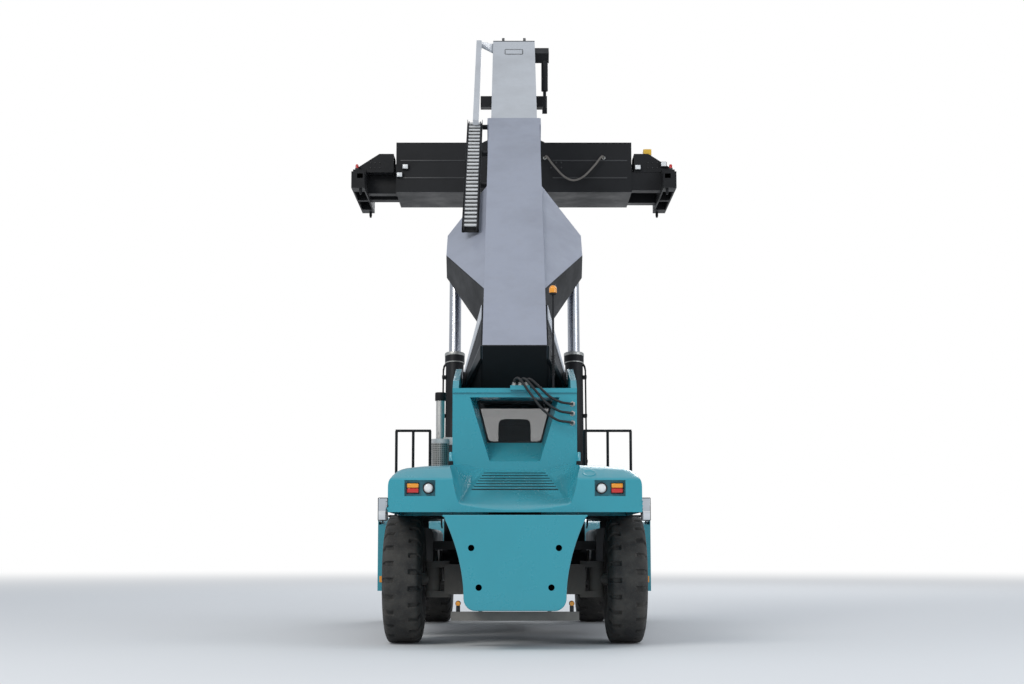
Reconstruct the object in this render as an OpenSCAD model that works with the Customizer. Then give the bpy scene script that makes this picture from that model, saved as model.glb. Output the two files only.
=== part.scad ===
// Reach stacker: a port truck that lifts containers with a telescopic boom.
// X is across the truck, Y is forwards and Z is up, in millimetres.
// Pieces are placed along Y from the rear axle, then the whole truck is centred.

/* [Truck] */
// Distance between the axles
wheelbase = 6000; // [5700:10:6400]
// Distance between the rear tyres' middles
rear_track = 2830; // [2760:10:2900]
// Distance between the middles of the front twin pairs
front_track = 3100; // [3060:10:3160]
// Distance between the two tyres of a twin pair
twin_pitch = 570; // [540:5:590]
// Width over the front fenders
fender_width = 4360; // [4340:10:4460]
// Thickness of fender and hood sheet
sheet_t = 12; // [8:1:20]
// Thickness of frame plates
plate_t = 50; // [40:1:70]

/* [Tyres] */
// Tyre diameter over the lugs
tyre_d = 1620; // [1560:5:1630]
// Tyre section width
tyre_w = 500; // [470:5:510]
// Tread width
tread_w = 440; // [420:5:460]
// Rim diameter at the bead
rim_d = 640; // [600:5:680]
// Thickness of the rim's barrel and discs
rim_t = 22; // [16:1:30]

/* [Frame] */
// Half the distance between the rails' outer faces
rail_x = 450; // [430:5:470]
// Top of the rails
rail_top = 1600; // [1580:5:1615]
// Underside of the rails between the axles
rail_bottom = 780; // [700:10:900]
// Height of the rails over the axles
rail_axle_z = 1120; // [1080:5:1180]
// Rear end of the rails
rail_rear_y = -960; // [-980:5:-900]
// Front end of the rails
rail_front_y = 6760; // [6700:10:6800]

/* [Counterweight] */
// Half width of the counterweight's top
cw_top_x = 860; // [820:5:880]
// Half width where the bottom corners start
cw_low_x = 630; // [600:5:660]
// Half width of the flat bottom
cw_bottom_x = 470; // [440:5:500]
// Top of the counterweight
cw_top_z = 1600; // [1560:5:1610]
// Height where the bottom corners start
cw_low_z = 620; // [600:5:660]
// Underside of the counterweight
cw_bottom_z = 470; // [440:5:500]
// Rear face of the counterweight
cw_rear_y = -1750; // [-1800:5:-1700]
// Diameter of the four holes in the rear face
cw_hole_d = 76; // [60:1:90]
// Depth of those holes
cw_hole_depth = 120; // [80:5:160]

/* [Hood] */
// Half width over the rear fenders
hood_x = 1530; // [1500:5:1560]
// Rear edge of the hood
hood_rear_y = -1530; // [-1560:5:-1480]
// Front edge of the rear fenders
hood_front_y = 1050; // [950:10:1150]
// Top of the hood at the tower
hood_top_z = 2300; // [2260:5:2340]
// Top of the hood at its rear edge
hood_rear_z = 2040; // [1980:5:2100]
// Lower edge of the hood and fenders
hood_lip_z = 1635; // [1630:1:1660]
// Radius of the fenders' upper corners
hood_corner_r = 260; // [200:5:320]
// Number of slats in the engine grille
slat_count = 7; // [5:1:9]

/* [Tower] */
// Half the distance over the tower's side plates
tower_x = 820; // [805:5:830]
// Thickness of the side plates
tower_t = 80; // [60:2:84]
// Rear face of the tower
tower_rear_y = 250; // [230:5:270]
// Front edge of the side plates
tower_front_y = 1975; // [1960:5:1985]
// Top of the rear wall
tower_top_z = 3300; // [3240:5:3320]

/* [Cab] */
// Half width of the cab
cab_x = 725; // [700:1:730]
// Rear face of the cab
cab_rear_y = 2030; // [2020:5:2060]
// Length of the cab's roof
cab_roof_l = 1720; // [1600:10:1760]
// Underside of the cab
cab_floor_z = 1950; // [1900:5:1980]
// Height of the cab
cab_h = 1480; // [1400:5:1500]
// Thickness of the cab's walls and doors
cab_wall = 50; // [40:1:60]
// Width of a cab door
door_w = 620; // [560:5:640]
// Height of a cab door
door_h = 1330; // [1250:5:1350]
// Gap round a door
door_gap = 10; // [8:1:12]
// Thickness of the panes
pane_t = 8; // [6:1:10]

/* [Boom] */
// Boom angle above the ground as it stands
boom_angle = 39.4; // [38:0.1:40]
// Height of the boom's pivot
pivot_z = 3500; // [3480:5:3540]
// Boom pivot ahead of the rear axle
pivot_y = 1740; // [1720:5:1750]
// Diameter of the boom's pivot pins
pivot_d = 160; // [140:2:180]
// Width of the outer boom
outer_w = 870; // [860:2:880]
// Depth of the outer boom
outer_h = 850; // [840:2:870]
// Thickness of the outer boom's plates
outer_t = 24; // [20:1:28]
// Height of the outer boom's lower face above the pivot, square to the boom
outer_low = 200; // [190:2:220]
// Rear end of the outer boom, measured along the boom from the pivot
outer_rear = -620; // [-640:5:-600]
// Front end of the outer boom, measured along the boom from the pivot
outer_front = 6640; // [6400:10:6800]
// Width of the inner boom
inner_w = 790; // [780:2:796]
// Depth of the inner boom
inner_h = 700; // [690:2:710]
// Thickness of the inner boom's plates
inner_t = 20; // [16:1:24]
// Length of the inner boom
inner_l = 7500; // [7300:10:7600]
// How far the inner boom stands out of the outer one
inner_out = 3620; // [3400:10:3800]

/* [Lift cylinders] */
// Half the distance between the two cylinders
lift_x = 905; // [900:1:915]
// Outer diameter of the barrels
barrel_d = 270; // [250:2:280]
// Length of a barrel from its pin to its gland
barrel_l = 3110; // [3000:10:3130]
// Diameter of the rods
rod_d = 180; // [160:2:190]
// Lower pin ahead of the rear axle
lift_y = 3000; // [2980:5:3020]
// Height of the lower pin
lift_z = 1050; // [1040:5:1100]
// Diameter of the cylinders' pins
lift_pin_d = 110; // [90:2:120]
// Upper pin, measured along the boom from the pivot
lift_u = 2800; // [2760:5:2840]
// Upper pin, measured square to the boom from the pivot
lift_w = 300; // [280:5:320]

/* [Spreader] */
// Head pin ahead of the rear axle
head_y = 10600; // [10560:5:10700]
// Height of the head pin
head_z = 10350; // [10300:5:10400]
// Diameter of the head pin
head_pin_d = 140; // [120:2:160]
// Height of the face that rests on a container
lock_z = 8000; // [7960:5:8010]
// Length over the spreader's end beams
spreader_l = 6200; // [6150:5:6220]
// Depth of the spreader over its end beams
spreader_w = 2440; // [2420:2:2440]
// Height of the end beams
end_h = 430; // [400:5:435]
// Width of an end beam
end_w = 250; // [220:5:280]
// Length of the main beam
beam_l = 4560; // [4500:10:4600]
// Width of the main beam
beam_w = 1472; // [1466:2:1480]
// Height of the main beam
beam_h = 490; // [485:1:500]
// From the spreader's end to its locks
lock_inset_l = 173.5; // [170:0.5:176]
// From the spreader's side to its locks
lock_inset_w = 90.5; // [88:0.5:93]
// Diameter of a lock's shaft
lock_d = 56; // [50:1:60]

/* [Hidden] */
$fn = 48;

// Colours
teal = "#3fb3b5";
dark = "#26282b";
pale = "#d5d9dd";
lilac = "#a9aeb8";
chrome = "#c9ccd0";
black = "#17181a";
amber = "#f08a1c";

// Places that follow from the sizes above
tyre_r = tyre_d / 2;
rear_x = rear_track / 2;
front_x = front_track / 2;
machine_rear = cw_rear_y;
machine_front = head_y + spreader_w / 2;
middle_y = (machine_rear + machine_front) / 2;
pin_gap = 0.08;
fit_gap = 0.3;

// The truck's middle comes to the origin
module placed() {
    translate([0, -middle_y, 0]) children();
}

// A copy on each side of the truck
module both_sides() {
    children();
    mirror([1, 0, 0]) children();
}

// One side only: 1 is the right, -1 the left
module on_side(s) {
    if (s > 0) children();
    else mirror([1, 0, 0]) children();
}

// A box given by its six faces
module block(x0, x1, y0, y1, z0, z1) {
    translate([x0, y0, z0]) cube([x1 - x0, y1 - y0, z1 - z0]);
}

// A side profile in Y and Z, from x0 to x1
module plate_x(x0, x1) {
    translate([x0, 0, 0]) rotate([90, 0, 90]) linear_extrude(x1 - x0) children();
}

// A rear profile in X and Z, from y0 to y1
module plate_y(y0, y1) {
    translate([0, y1, 0]) rotate([90, 0, 0]) linear_extrude(y1 - y0) children();
}

// A round bar along X, Y or Z
module bar_x(x0, x1, y, z, d) {
    translate([x0, y, z]) rotate([0, 90, 0]) cylinder(h = x1 - x0, d = d);
}
module bar_y(x, y0, y1, z, d) {
    translate([x, y1, z]) rotate([90, 0, 0]) cylinder(h = y1 - y0, d = d);
}
module bar_z(x, y, z0, z1, d) {
    translate([x, y, z0]) cylinder(h = z1 - z0, d = d);
}

// A tube swept along points, as one closed skin
function unit(v) = v / norm(v);
function along(p, i) = unit(p[min(i + 1, len(p) - 1)] - p[max(i - 1, 0)]);
function square_to(t) = unit(cross(t, abs(t[2]) < 0.9 ? [0, 0, 1] : [1, 0, 0]));
function ring(p, i, r, n) =
    let (t = along(p, i), a = square_to(t), b = cross(t, a))
    [for (k = [0 : n - 1]) p[i] + r * (cos(360 * k / n) * a + sin(360 * k / n) * b)];
module swept_tube(p, d, n = 8) {
    m = len(p);
    points = [for (i = [0 : m - 1]) each ring(p, i, d / 2, n)];
    sides = [for (i = [0 : m - 2], k = [0 : n - 1])
        [i * n + k, (i + 1) * n + k, (i + 1) * n + (k + 1) % n, i * n + (k + 1) % n]];
    first = [for (k = [0 : n - 1]) k];
    last = [for (k = [0 : n - 1]) (m - 1) * n + n - 1 - k];
    polyhedron(points, concat(sides, [first, last]));
}

// A smooth curve through hand-chosen points, with some steps between each pair;
// the first and the last stretch stay straight
function spline_at(a, b, c, d, t) =
    0.5 * (2 * b + (c - a) * t + (2 * a - 5 * b + 4 * c - d) * t * t
    + (3 * b - a - 3 * c + d) * t * t * t);
function smooth_route(p, steps) = concat(
    [p[0]],
    [for (i = [1 : len(p) - 3], j = [0 : steps - 1])
        spline_at(p[i - 1], p[i], p[i + 1], p[i + 2], j / steps)],
    [p[len(p) - 2], p[len(p) - 1]]);

// Chassis: two rails with plates across, brackets for the cylinders and the tower's seat
tower_seat_t = 40;
lug_inner_x = 715;
lug_outer_x = 1095;
lug_t = 40;
module rail_profile() {
    polygon([
        [rail_rear_y, rail_axle_z], [rail_rear_y, rail_top - tower_seat_t],
        [rail_front_y, rail_top - tower_seat_t], [rail_front_y, rail_axle_z + 60],
        [wheelbase - 620, rail_axle_z + 60], [wheelbase - 900, rail_bottom],
        [1300, rail_bottom], [1000, rail_axle_z]
    ]);
}
module chassis_frame() {
    color(dark) placed() difference() {
        union() {
            both_sides() plate_x(rail_x - plate_t, rail_x) rail_profile();
            block(-rail_x, rail_x, rail_rear_y, rail_front_y, rail_top - tower_seat_t, rail_top);
            block(-tower_x, tower_x, tower_rear_y, tower_front_y, rail_top - tower_seat_t, rail_top);
            block(-rail_x, rail_x, 1300, wheelbase - 900, rail_bottom - plate_t, rail_bottom);
            block(-rail_x, rail_x, rail_rear_y, rail_rear_y + plate_t, rail_axle_z, rail_top);
            block(-rail_x, rail_x, rail_front_y - plate_t, rail_front_y, rail_axle_z + 60, rail_top);
            lift_lugs();
            axle_saddles();
            tow_bar();
            both_sides() for (y = [cab_rear_y + 200, cab_front_y - 200])
                block(rail_x - 160, rail_x, y - 80, y + 80, rail_top - 1, cab_floor_z);
        }
        bar_y(0, -steer_beam_y - 200, steer_beam_y + 200, tyre_r, steer_pivot_d + 2 * pin_gap);
        both_sides() bar_x(lug_inner_x - 10, lug_outer_x + 10, lift_y, lift_z, lift_pin_d + 2 * pin_gap);
    }
}
// Lugs on each side that hold the lift cylinders' lower pins
module lift_lugs() {
    both_sides() {
        for (x = [lug_inner_x, lug_outer_x - lug_t])
            plate_x(x, x + lug_t) polygon([
                [lift_y - 420, rail_bottom - plate_t], [lift_y - 170, lift_z + 120],
                [lift_y + 170, lift_z + 120], [lift_y + 420, rail_bottom - plate_t]]);
        block(rail_x - 10, lug_outer_x, lift_y - 420, lift_y + 420,
            rail_bottom - 2 * plate_t, rail_bottom - plate_t);
        block(rail_x - 10, lug_inner_x + 1, lift_y - 60, lift_y + 60, rail_bottom - plate_t, lift_z + 60);
    }
}
// Bar across under the frame's rear end
tow_bar_x = 790;
tow_bar_y = -920;
tow_bar_t = 80;
tow_bar_z = 320;
tow_bar_h = 110;
module tow_bar() {
    block(-tow_bar_x, tow_bar_x, tow_bar_y, tow_bar_y + tow_bar_t, tow_bar_z, tow_bar_z + tow_bar_h);
    both_sides() block(rail_x - plate_t, rail_x, tow_bar_y, tow_bar_y + tow_bar_t, tow_bar_z, rail_axle_z + 1);
}
// Blocks that carry the axles under the rails
saddle_x = 330;
module axle_saddles() {
    both_sides() block(saddle_x, rail_x, wheelbase - 260, wheelbase + 260,
        tyre_r + drive_tube_d / 2, rail_axle_z + 60);
    for (y = [-steer_beam_y - 110, steer_beam_y + 10])
        block(-220, 220, y, y + 100, tyre_r - 60, rail_axle_z + plate_t);
    for (y = [-steer_beam_y - 110, steer_beam_y + 10])
        block(-rail_x, rail_x, y, y + 100, rail_axle_z, rail_axle_z + plate_t);
}

// Tower: two side plates and a rear wall with the window that looks into the cab
window_top_x = 510;
window_low_x = 365;
funnel_y = 760;
funnel_top_x = 590;
funnel_low_x = 330;
funnel_low_z = 2335;
funnel_t = 20;
window_top_z = 3180;
window_low_z = 2610;
boss_r = 210;
hose_block_z = 3330;
module tower_side_profile() {
    polygon([
        [tower_rear_y, rail_top], [tower_rear_y, tower_top_z],
        [tower_rear_y + 180, tower_top_z + 120], [pivot_y - 200, pivot_z + boss_r - 20],
        [pivot_y, pivot_z + boss_r], [pivot_y + 180, pivot_z + 130],
        [tower_front_y, pivot_z - 60], [tower_front_y, rail_top]
    ]);
}
// Slanted plates lead from the rear wall's opening to the smaller window
module funnel_strip(y, top_x, low_x, low_z) {
    plate_y(y, y + funnel_t) polygon([[top_x, window_top_z], [top_x + funnel_t, window_top_z],
        [low_x + funnel_t, low_z], [low_x, low_z]]);
}
module tower_funnel() {
    t = funnel_t;
    both_sides() hull() {
        funnel_strip(tower_rear_y, funnel_top_x, funnel_low_x, funnel_low_z);
        funnel_strip(funnel_y, window_top_x, window_low_x, window_low_z);
    }
    hull() {
        block(-funnel_low_x - t, funnel_low_x + t, tower_rear_y, tower_rear_y + t, funnel_low_z - t, funnel_low_z);
        block(-window_low_x - t, window_low_x + t, funnel_y, funnel_y + t, window_low_z - t, window_low_z);
    }
    hull() {
        block(-funnel_top_x - t, funnel_top_x + t, tower_rear_y, tower_rear_y + t, window_top_z, window_top_z + t);
        block(-window_top_x - t, window_top_x + t, funnel_y, funnel_y + t, window_top_z, window_top_z + t);
    }
}
module tower() {
    color(teal) placed() {
        tower_funnel();
        difference() {
            union() {
                both_sides() plate_x(tower_x - tower_t, tower_x) tower_side_profile();
                block(-tower_x + 1, tower_x - 1, tower_rear_y, tower_rear_y + plate_t,
                    rail_top, tower_top_z);
                block(-tower_x, tower_x, tower_rear_y - 25, tower_rear_y + 1,
                    tower_top_z - 60, tower_top_z);
                block(-tower_x, tower_x, tower_rear_y - 25, tower_rear_y + 1,
                    hood_side_z - 60, hood_top_z + 20);
                block(-60, 200, tower_rear_y - 100, tower_rear_y + 1, tower_top_z - 30, hose_block_z - fit_gap);
            }
            plate_y(tower_rear_y - 30, tower_rear_y + plate_t + 1) polygon([
                [-funnel_top_x, window_top_z], [funnel_top_x, window_top_z],
                [funnel_low_x, funnel_low_z], [-funnel_low_x, funnel_low_z]]);
        }
    }
    color(chrome) placed() both_sides()
        bar_x(pin_inner_x, tower_x - tower_t, pivot_y, pivot_z, pivot_d);
}
// The pins reach from the tower's plates through the boom's hubs
pin_inner_x = 560;
hub_t = 110;
hub_outer_x = 730;

// Counterweight: curved sides, round lower corners and four round holes
cw_front_y = rail_rear_y - fit_gap;
cw_side_bend = 0.75;
function cw_side_x(z) =
    cw_low_x + (cw_top_x - cw_low_x) * pow((z - cw_low_z) / (cw_top_z - cw_low_z), cw_side_bend);
cw_steps = 8;
cw_corner_steps = 6;
module counterweight_profile() {
    right = concat(
        [for (k = [0 : cw_corner_steps]) let (a = 90 * k / cw_corner_steps)
            [cw_bottom_x + (cw_low_x - cw_bottom_x) * sin(a),
            cw_low_z - (cw_low_z - cw_bottom_z) * cos(a)]],
        [for (k = [1 : cw_steps]) let (z = cw_low_z + (cw_top_z - cw_low_z) * k / cw_steps)
            [cw_side_x(z), z]]);
    left = [for (k = [len(right) - 1 : -1 : 0]) [-right[k][0], right[k][1]]];
    polygon(concat(right, left));
}
// Holes: half distance apart, height
cw_holes = [[520, 1210], [430, 745]];
module counterweight() {
    color(teal) placed() difference() {
        plate_y(cw_rear_y, cw_front_y) counterweight_profile();
        for (h = cw_holes) both_sides()
            bar_y(h[0], cw_rear_y - 1, cw_rear_y + cw_hole_depth, h[1], cw_hole_d);
    }
}

// Rear hood and fenders: one shell, open below, with the grille's opening and lamp pockets
hood_side_z = 2200;
hood_knee_l = 320;
hood_knee_z = 2215;
centre_x = 850;
function arc_points(cx, cz, r, a0, a1, n) =
    [for (k = [0 : n]) let (a = a0 + (a1 - a0) * k / n) [cx + r * cos(a), cz + r * sin(a)]];
module hood_section(inset) {
    x = hood_x - inset;
    z = hood_side_z - inset;
    r = hood_corner_r - inset;
    right = concat([[x, hood_lip_z - (inset > 0 ? 1 : 0)]], arc_points(x - r, z - r, r, 0, 90, 8),
        [[centre_x, hood_top_z - inset]]);
    left = [for (k = [len(right) - 1 : -1 : 0]) [-right[k][0], right[k][1]]];
    polygon(concat(right, left));
}
module hood_side_view(inset) {
    z0 = hood_lip_z - (inset > 0 ? 1 : 0);
    polygon([
        [hood_rear_y + inset, z0], [hood_rear_y + inset, hood_rear_z - inset],
        [hood_rear_y + hood_knee_l, hood_knee_z - inset], [tower_rear_y, hood_top_z - inset],
        [hood_front_y - inset, hood_top_z - inset], [hood_front_y - inset, z0]
    ]);
}
module hood_form(inset) {
    intersection() {
        plate_y(hood_rear_y + inset, hood_front_y - inset) hood_section(inset);
        plate_x(-hood_x, hood_x) hood_side_view(inset);
    }
}
// Lamp pockets in the rear face
pocket_x = 1145;
pocket_w = 370;
pocket_z = 1925;
pocket_h = 190;
pocket_depth = 90;
// The centre panel falls towards the rear edge
panel_front_y = 200;
panel_front_z = 2220;
panel_rear_z = 1740;
panel_front_x = 410;
panel_rear_x = 680;
panel_angle = atan2(panel_front_z - panel_rear_z, panel_front_y - hood_rear_y);
panel_l = norm([panel_front_z - panel_rear_z, panel_front_y - hood_rear_y]);
module on_panel() {
    translate([0, hood_rear_y, panel_rear_z]) rotate([panel_angle, 0, 0]) children();
}
module panel_outline(margin, y0, y1) {
    function half(y) = panel_rear_x + (panel_front_x - panel_rear_x) * y / panel_l - margin;
    polygon([[-half(y0), y0], [half(y0), y0], [half(y1), y1], [-half(y1), y1]]);
}
// Dished facets rise from the panel's sides to the roof. Their corners are the panel's
// rear and front corner, the fender's rear edge, the roof's knee and the roof at the tower.
facet_t = 30;
facet_over = 30;
facet_fender = [752, 2090];
facet_knee_x = 800;
facet_tower_x = 640;
facet_slope = tan(panel_angle) * facet_over;
facet_corners = [
    [panel_rear_x, hood_rear_y - facet_over, panel_rear_z - facet_slope],
    [panel_front_x, panel_front_y + facet_over, panel_front_z + facet_slope],
    [facet_fender[0], hood_rear_y - facet_over, facet_fender[1]],
    [facet_knee_x, hood_rear_y + hood_knee_l, hood_knee_z + 10],
    [facet_tower_x, panel_front_y + facet_over, hood_top_z + 12]];
module facet_cut() {
    hull() for (c = facet_corners) translate(c) cube([1, 1, 700]);
}
post_x = 830;
post_y = -50;
post_h = 140;
post_d = 44;
grille_y0 = 685;
grille_y1 = 1735;
grille_margin = 30;
module rear_hood() {
    color(teal) placed() difference() {
        union() {
            difference() {
                hood_form(0);
                hood_form(sheet_t);
                on_panel() linear_extrude(700) panel_outline(0, -300, panel_l + 60);
                both_sides() facet_cut();
                block(-tower_x - fit_gap, tower_x + fit_gap, tower_rear_y - 25 - fit_gap, hood_front_y + 1,
                    hood_lip_z - 1, 3000);
            }
            intersection() {
                hood_form(0);
                difference() {
                    on_panel() translate([0, 0, -sheet_t]) linear_extrude(sheet_t)
                        panel_outline(-20, -40, panel_l + 12);
                    on_panel() translate([0, 0, -sheet_t - 1]) linear_extrude(sheet_t + 2)
                        panel_outline(grille_margin, grille_y0, grille_y1);
                }
            }
            intersection() {
                hood_form(0);
                both_sides() difference() {
                    translate([0, 0, -facet_t]) facet_cut();
                    facet_cut();
                }
                block(-hood_x, hood_x, hood_rear_y, panel_front_y + 12, hood_lip_z, hood_top_z + 100);
            }
            both_sides() bar_z(post_x, post_y, hood_top_z - 40, hood_top_z + post_h, post_d);
            both_sides() block(tower_x + fit_gap, tower_x + fit_gap + sheet_t,
                tower_rear_y - 25 - fit_gap - sheet_t, hood_front_y, hood_lip_z, hood_side_z + 30);
            both_sides() block(tower_x - 90, tower_x + fit_gap + 1, tower_rear_y - 25 - fit_gap - sheet_t,
                tower_rear_y - 25 - fit_gap, hood_lip_z, hood_side_z + 30);
            both_sides() block(pocket_x - pocket_w / 2 - sheet_t, pocket_x + pocket_w / 2 + sheet_t,
                hood_rear_y + sheet_t / 2, hood_rear_y + pocket_depth + sheet_t,
                pocket_z - pocket_h / 2 - sheet_t, pocket_z + pocket_h / 2 + sheet_t);
        }
        both_sides() block(pocket_x - pocket_w / 2, pocket_x + pocket_w / 2,
            hood_rear_y - 1, hood_rear_y + pocket_depth,
            pocket_z - pocket_h / 2, pocket_z + pocket_h / 2);
    }
}
// Grille: a frame with slats in the hood's opening
module engine_grille() {
    pitch = (grille_y1 - grille_y0) / slat_count;
    color(dark) placed() on_panel() translate([0, 0, -sheet_t]) {
        difference() {
            linear_extrude(sheet_t) panel_outline(grille_margin + fit_gap, grille_y0 + fit_gap, grille_y1 - fit_gap);
            translate([0, 0, -1]) linear_extrude(sheet_t + 2)
                panel_outline(grille_margin + 20, grille_y0 + 20, grille_y1 - 20);
        }
        for (k = [0 : slat_count - 1])
            intersection() {
                translate([-600, grille_y0 + pitch * (k + 0.5), 2]) rotate([32, 0, 0])
                    translate([0, -pitch * 0.42, 0]) cube([1200, pitch * 0.84, 4]);
                translate([0, 0, -40]) linear_extrude(80)
                    panel_outline(grille_margin + 15, grille_y0 + 5, grille_y1 - 5);
            }
    }
}

// Engine: one plain mass on the rails, under the hood
engine_x = 330;
engine_y0 = -750;
engine_y1 = 180;
engine_h = 280;
module engine_block() {
    color(dark) placed() block(-engine_x, engine_x, engine_y0, engine_y1, rail_top, rail_top + engine_h);
}

// Front fenders: sheet over the twin tyres, down at the front and the rear
fender_x = fender_width / 2;
fender_inner_x = 985;
fender_gap = 60;
fender_r = tyre_r + fender_gap;
fender_low_z = 1000;
strip_w = 120;
strip_low_z = 520;
strip_top_z = 1570;
skirt_rear_y = wheelbase - fender_r - sheet_t;
skirt_rear_z = 1640;
skirt_front_z = 1370;
skirt_slope_l = 180;
skirt_top_z = tyre_r + fender_r + 40;
module fender_profile() {
    difference() {
        translate([wheelbase, tyre_r]) circle(r = fender_r + sheet_t);
        translate([wheelbase, tyre_r]) circle(r = fender_r);
        translate([wheelbase - 2 * fender_r, -fender_r]) square([4 * fender_r, fender_r + fender_low_z]);
    }
}
module front_fenders() {
    front = wheelbase + fender_r + sheet_t;
    color(teal) placed() both_sides() {
        plate_x(fender_inner_x, fender_x) fender_profile();
        difference() {
            plate_x(fender_x - sheet_t, fender_x) polygon([
                [skirt_rear_y, strip_low_z], [skirt_rear_y, skirt_rear_z],
                [skirt_rear_y + skirt_slope_l, skirt_top_z], [front - 2 * skirt_slope_l, skirt_top_z],
                [front, skirt_front_z], [front, fender_low_z],
                [wheelbase, fender_low_z], [wheelbase, strip_low_z]]);
            bar_x(fender_x - strip_w, fender_x + 1, wheelbase, tyre_r, 2 * fender_r);
        }
        block(fender_x - strip_w, fender_x, skirt_rear_y, skirt_rear_y + sheet_t, strip_low_z, strip_top_z);
        block(rail_x - 60, fender_inner_x + 1, wheelbase - 60, wheelbase + 60, rail_top, tyre_r + fender_r + sheet_t - 3);
    }
}

// Tanks between the axles, one each side
tank_x0 = 1120;
tank_x1 = 1760;
tank_y0 = 1350;
tank_y1 = 4650;
tank_z0 = 620;
tank_z1 = 1480;
tank_corner_r = 90;
tank_t = 12;
neck_d = 90;
module tank_section(inset) {
    r = tank_corner_r;
    i = inset;
    polygon(concat(
        arc_points(tank_x0 + r, tank_z0 + r, r - i, 180, 270, 5),
        arc_points(tank_x1 - r, tank_z0 + r, r - i, 270, 360, 5),
        arc_points(tank_x1 - r, tank_z1 - r, r - i, 0, 90, 5),
        arc_points(tank_x0 + r, tank_z1 - r, r - i, 90, 180, 5)));
}
module side_tanks() {
    neck_x = tank_x1 - 150;
    neck_y = tank_y1 - 150;
    color(dark) placed() both_sides() {
        difference() {
            union() {
                plate_y(tank_y0, tank_y1) tank_section(0);
                bar_z(neck_x, neck_y, tank_z1 - 1, tank_z1 + 60, neck_d + 20);
            }
            plate_y(tank_y0 + tank_t, tank_y1 - tank_t) tank_section(tank_t);
            bar_z(neck_x, neck_y, tank_z1 - 2 * tank_t, tank_z1 + 61, neck_d);
        }
        for (y = [tank_y0 + 200, tank_y1 - 600])
            block(rail_x, tank_x0 + 1, y, y + 100, 1180, 1300);
    }
}

// Decks beside the cab, their handrails and the steps up to them
deck_x0 = 850;
deck_x1 = 1720;
deck_y0 = 1100;
deck_y1 = 4700;
deck_z = 1620;
deck_t = 30;
rail_tube = 38;
handrail_z = 2800;
step_y1 = 5060;
step_low_z = 430;
step_count = 4;
step_t = 20;
step_depth = 240;
stringer_w = 150;
module ladder() {
    pitch = (deck_z - step_low_z) / step_count;
    block(deck_x1 - 2 * step_depth, deck_x1, deck_y1 - 1, step_y1, deck_z, deck_z + deck_t);
    for (y = [deck_y1, step_y1 - step_t])
        block(deck_x1 - stringer_w, deck_x1, y, y + step_t, step_low_z, deck_z + 1);
    for (k = [0 : step_count - 1])
        block(deck_x1 - step_depth, deck_x1, deck_y1 + 1, step_y1 - 1,
            step_low_z + k * pitch, step_low_z + k * pitch + step_t);
}
module steps_and_rails() {
    color(black) placed() both_sides() {
        difference() {
            block(deck_x0, deck_x1, deck_y0, deck_y1, deck_z, deck_z + deck_t);
            block(deck_x0 - 1, lug_outer_x + 50, lift_y - 200, deck_y1 + 1, deck_z - 1, deck_z + deck_t + 1);
        }
        ladder();
        for (y = [tank_y0 + 300, tank_y1 - 500])
            block(tank_x0 + 200, tank_x1 - 200, y, y + 60, tank_z1, deck_z + 1);
    }
    color(black) placed() for (s = [-1, 1]) on_side(s) handrail(rail_ends[s < 0 ? 0 : 1]);
}
// Ends of the left and the right handrail
rail_ends = [[1160, 1620], [960, 1590]];
module handrail(ends) {
    y = deck_y0 + 60;
    for (x = [ends[0], (ends[0] + ends[1]) / 2, ends[1]])
        bar_z(x, y, deck_z + deck_t - 1, handrail_z, rail_tube);
    bar_x(ends[0] - rail_tube / 3, ends[1] + rail_tube / 3, y, handrail_z, rail_tube - 2);
}

// Exhaust on the left: a perforated shield, a bright pipe and a cap
exhaust_x = -1030;
exhaust_y = 1400;
shield_d = 250;
shield_top_z = 2690;
pipe_d = 120;
pipe_top_z = 3270;
cap_d = 150;
cap_h = 80;
bracket_w = 70;
module exhaust() {
    color(dark) placed() {
        bar_z(exhaust_x, exhaust_y, deck_z + deck_t, shield_top_z, shield_d);
        difference() {
            union() {
                bar_z(exhaust_x, exhaust_y, shield_top_z - 1, pipe_top_z, pipe_d);
                bar_z(exhaust_x, exhaust_y, pipe_top_z - cap_h / 2, pipe_top_z + cap_h, cap_d);
            }
            bar_z(exhaust_x, exhaust_y, pipe_top_z - 2 * cap_h, pipe_top_z + cap_h + 1, pipe_d - 12);
        }
        block(exhaust_x, -tower_x - fit_gap, exhaust_y - bracket_w / 2, exhaust_y + bracket_w / 2,
            shield_top_z - bracket_w, shield_top_z + bracket_w / 2);
    }
}

// Drive axle: a housing with its differential and the spindles for the twin wheels
drive_tube_d = 420;
drive_case_d = 620;
drive_case_l = 640;
drive_flange_x = 985;
spindle_d = 240;
spindle_end_x = 1560;
module drive_axle() {
    color(dark) placed() {
        bar_x(-drive_flange_x, drive_flange_x, wheelbase, tyre_r, drive_tube_d);
        translate([0, wheelbase, tyre_r]) rotate([90, 0, 0])
            cylinder(h = drive_case_l, d = drive_case_d, center = true);
        bar_x(-spindle_end_x, spindle_end_x, wheelbase, tyre_r, spindle_d);
    }
}

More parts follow.
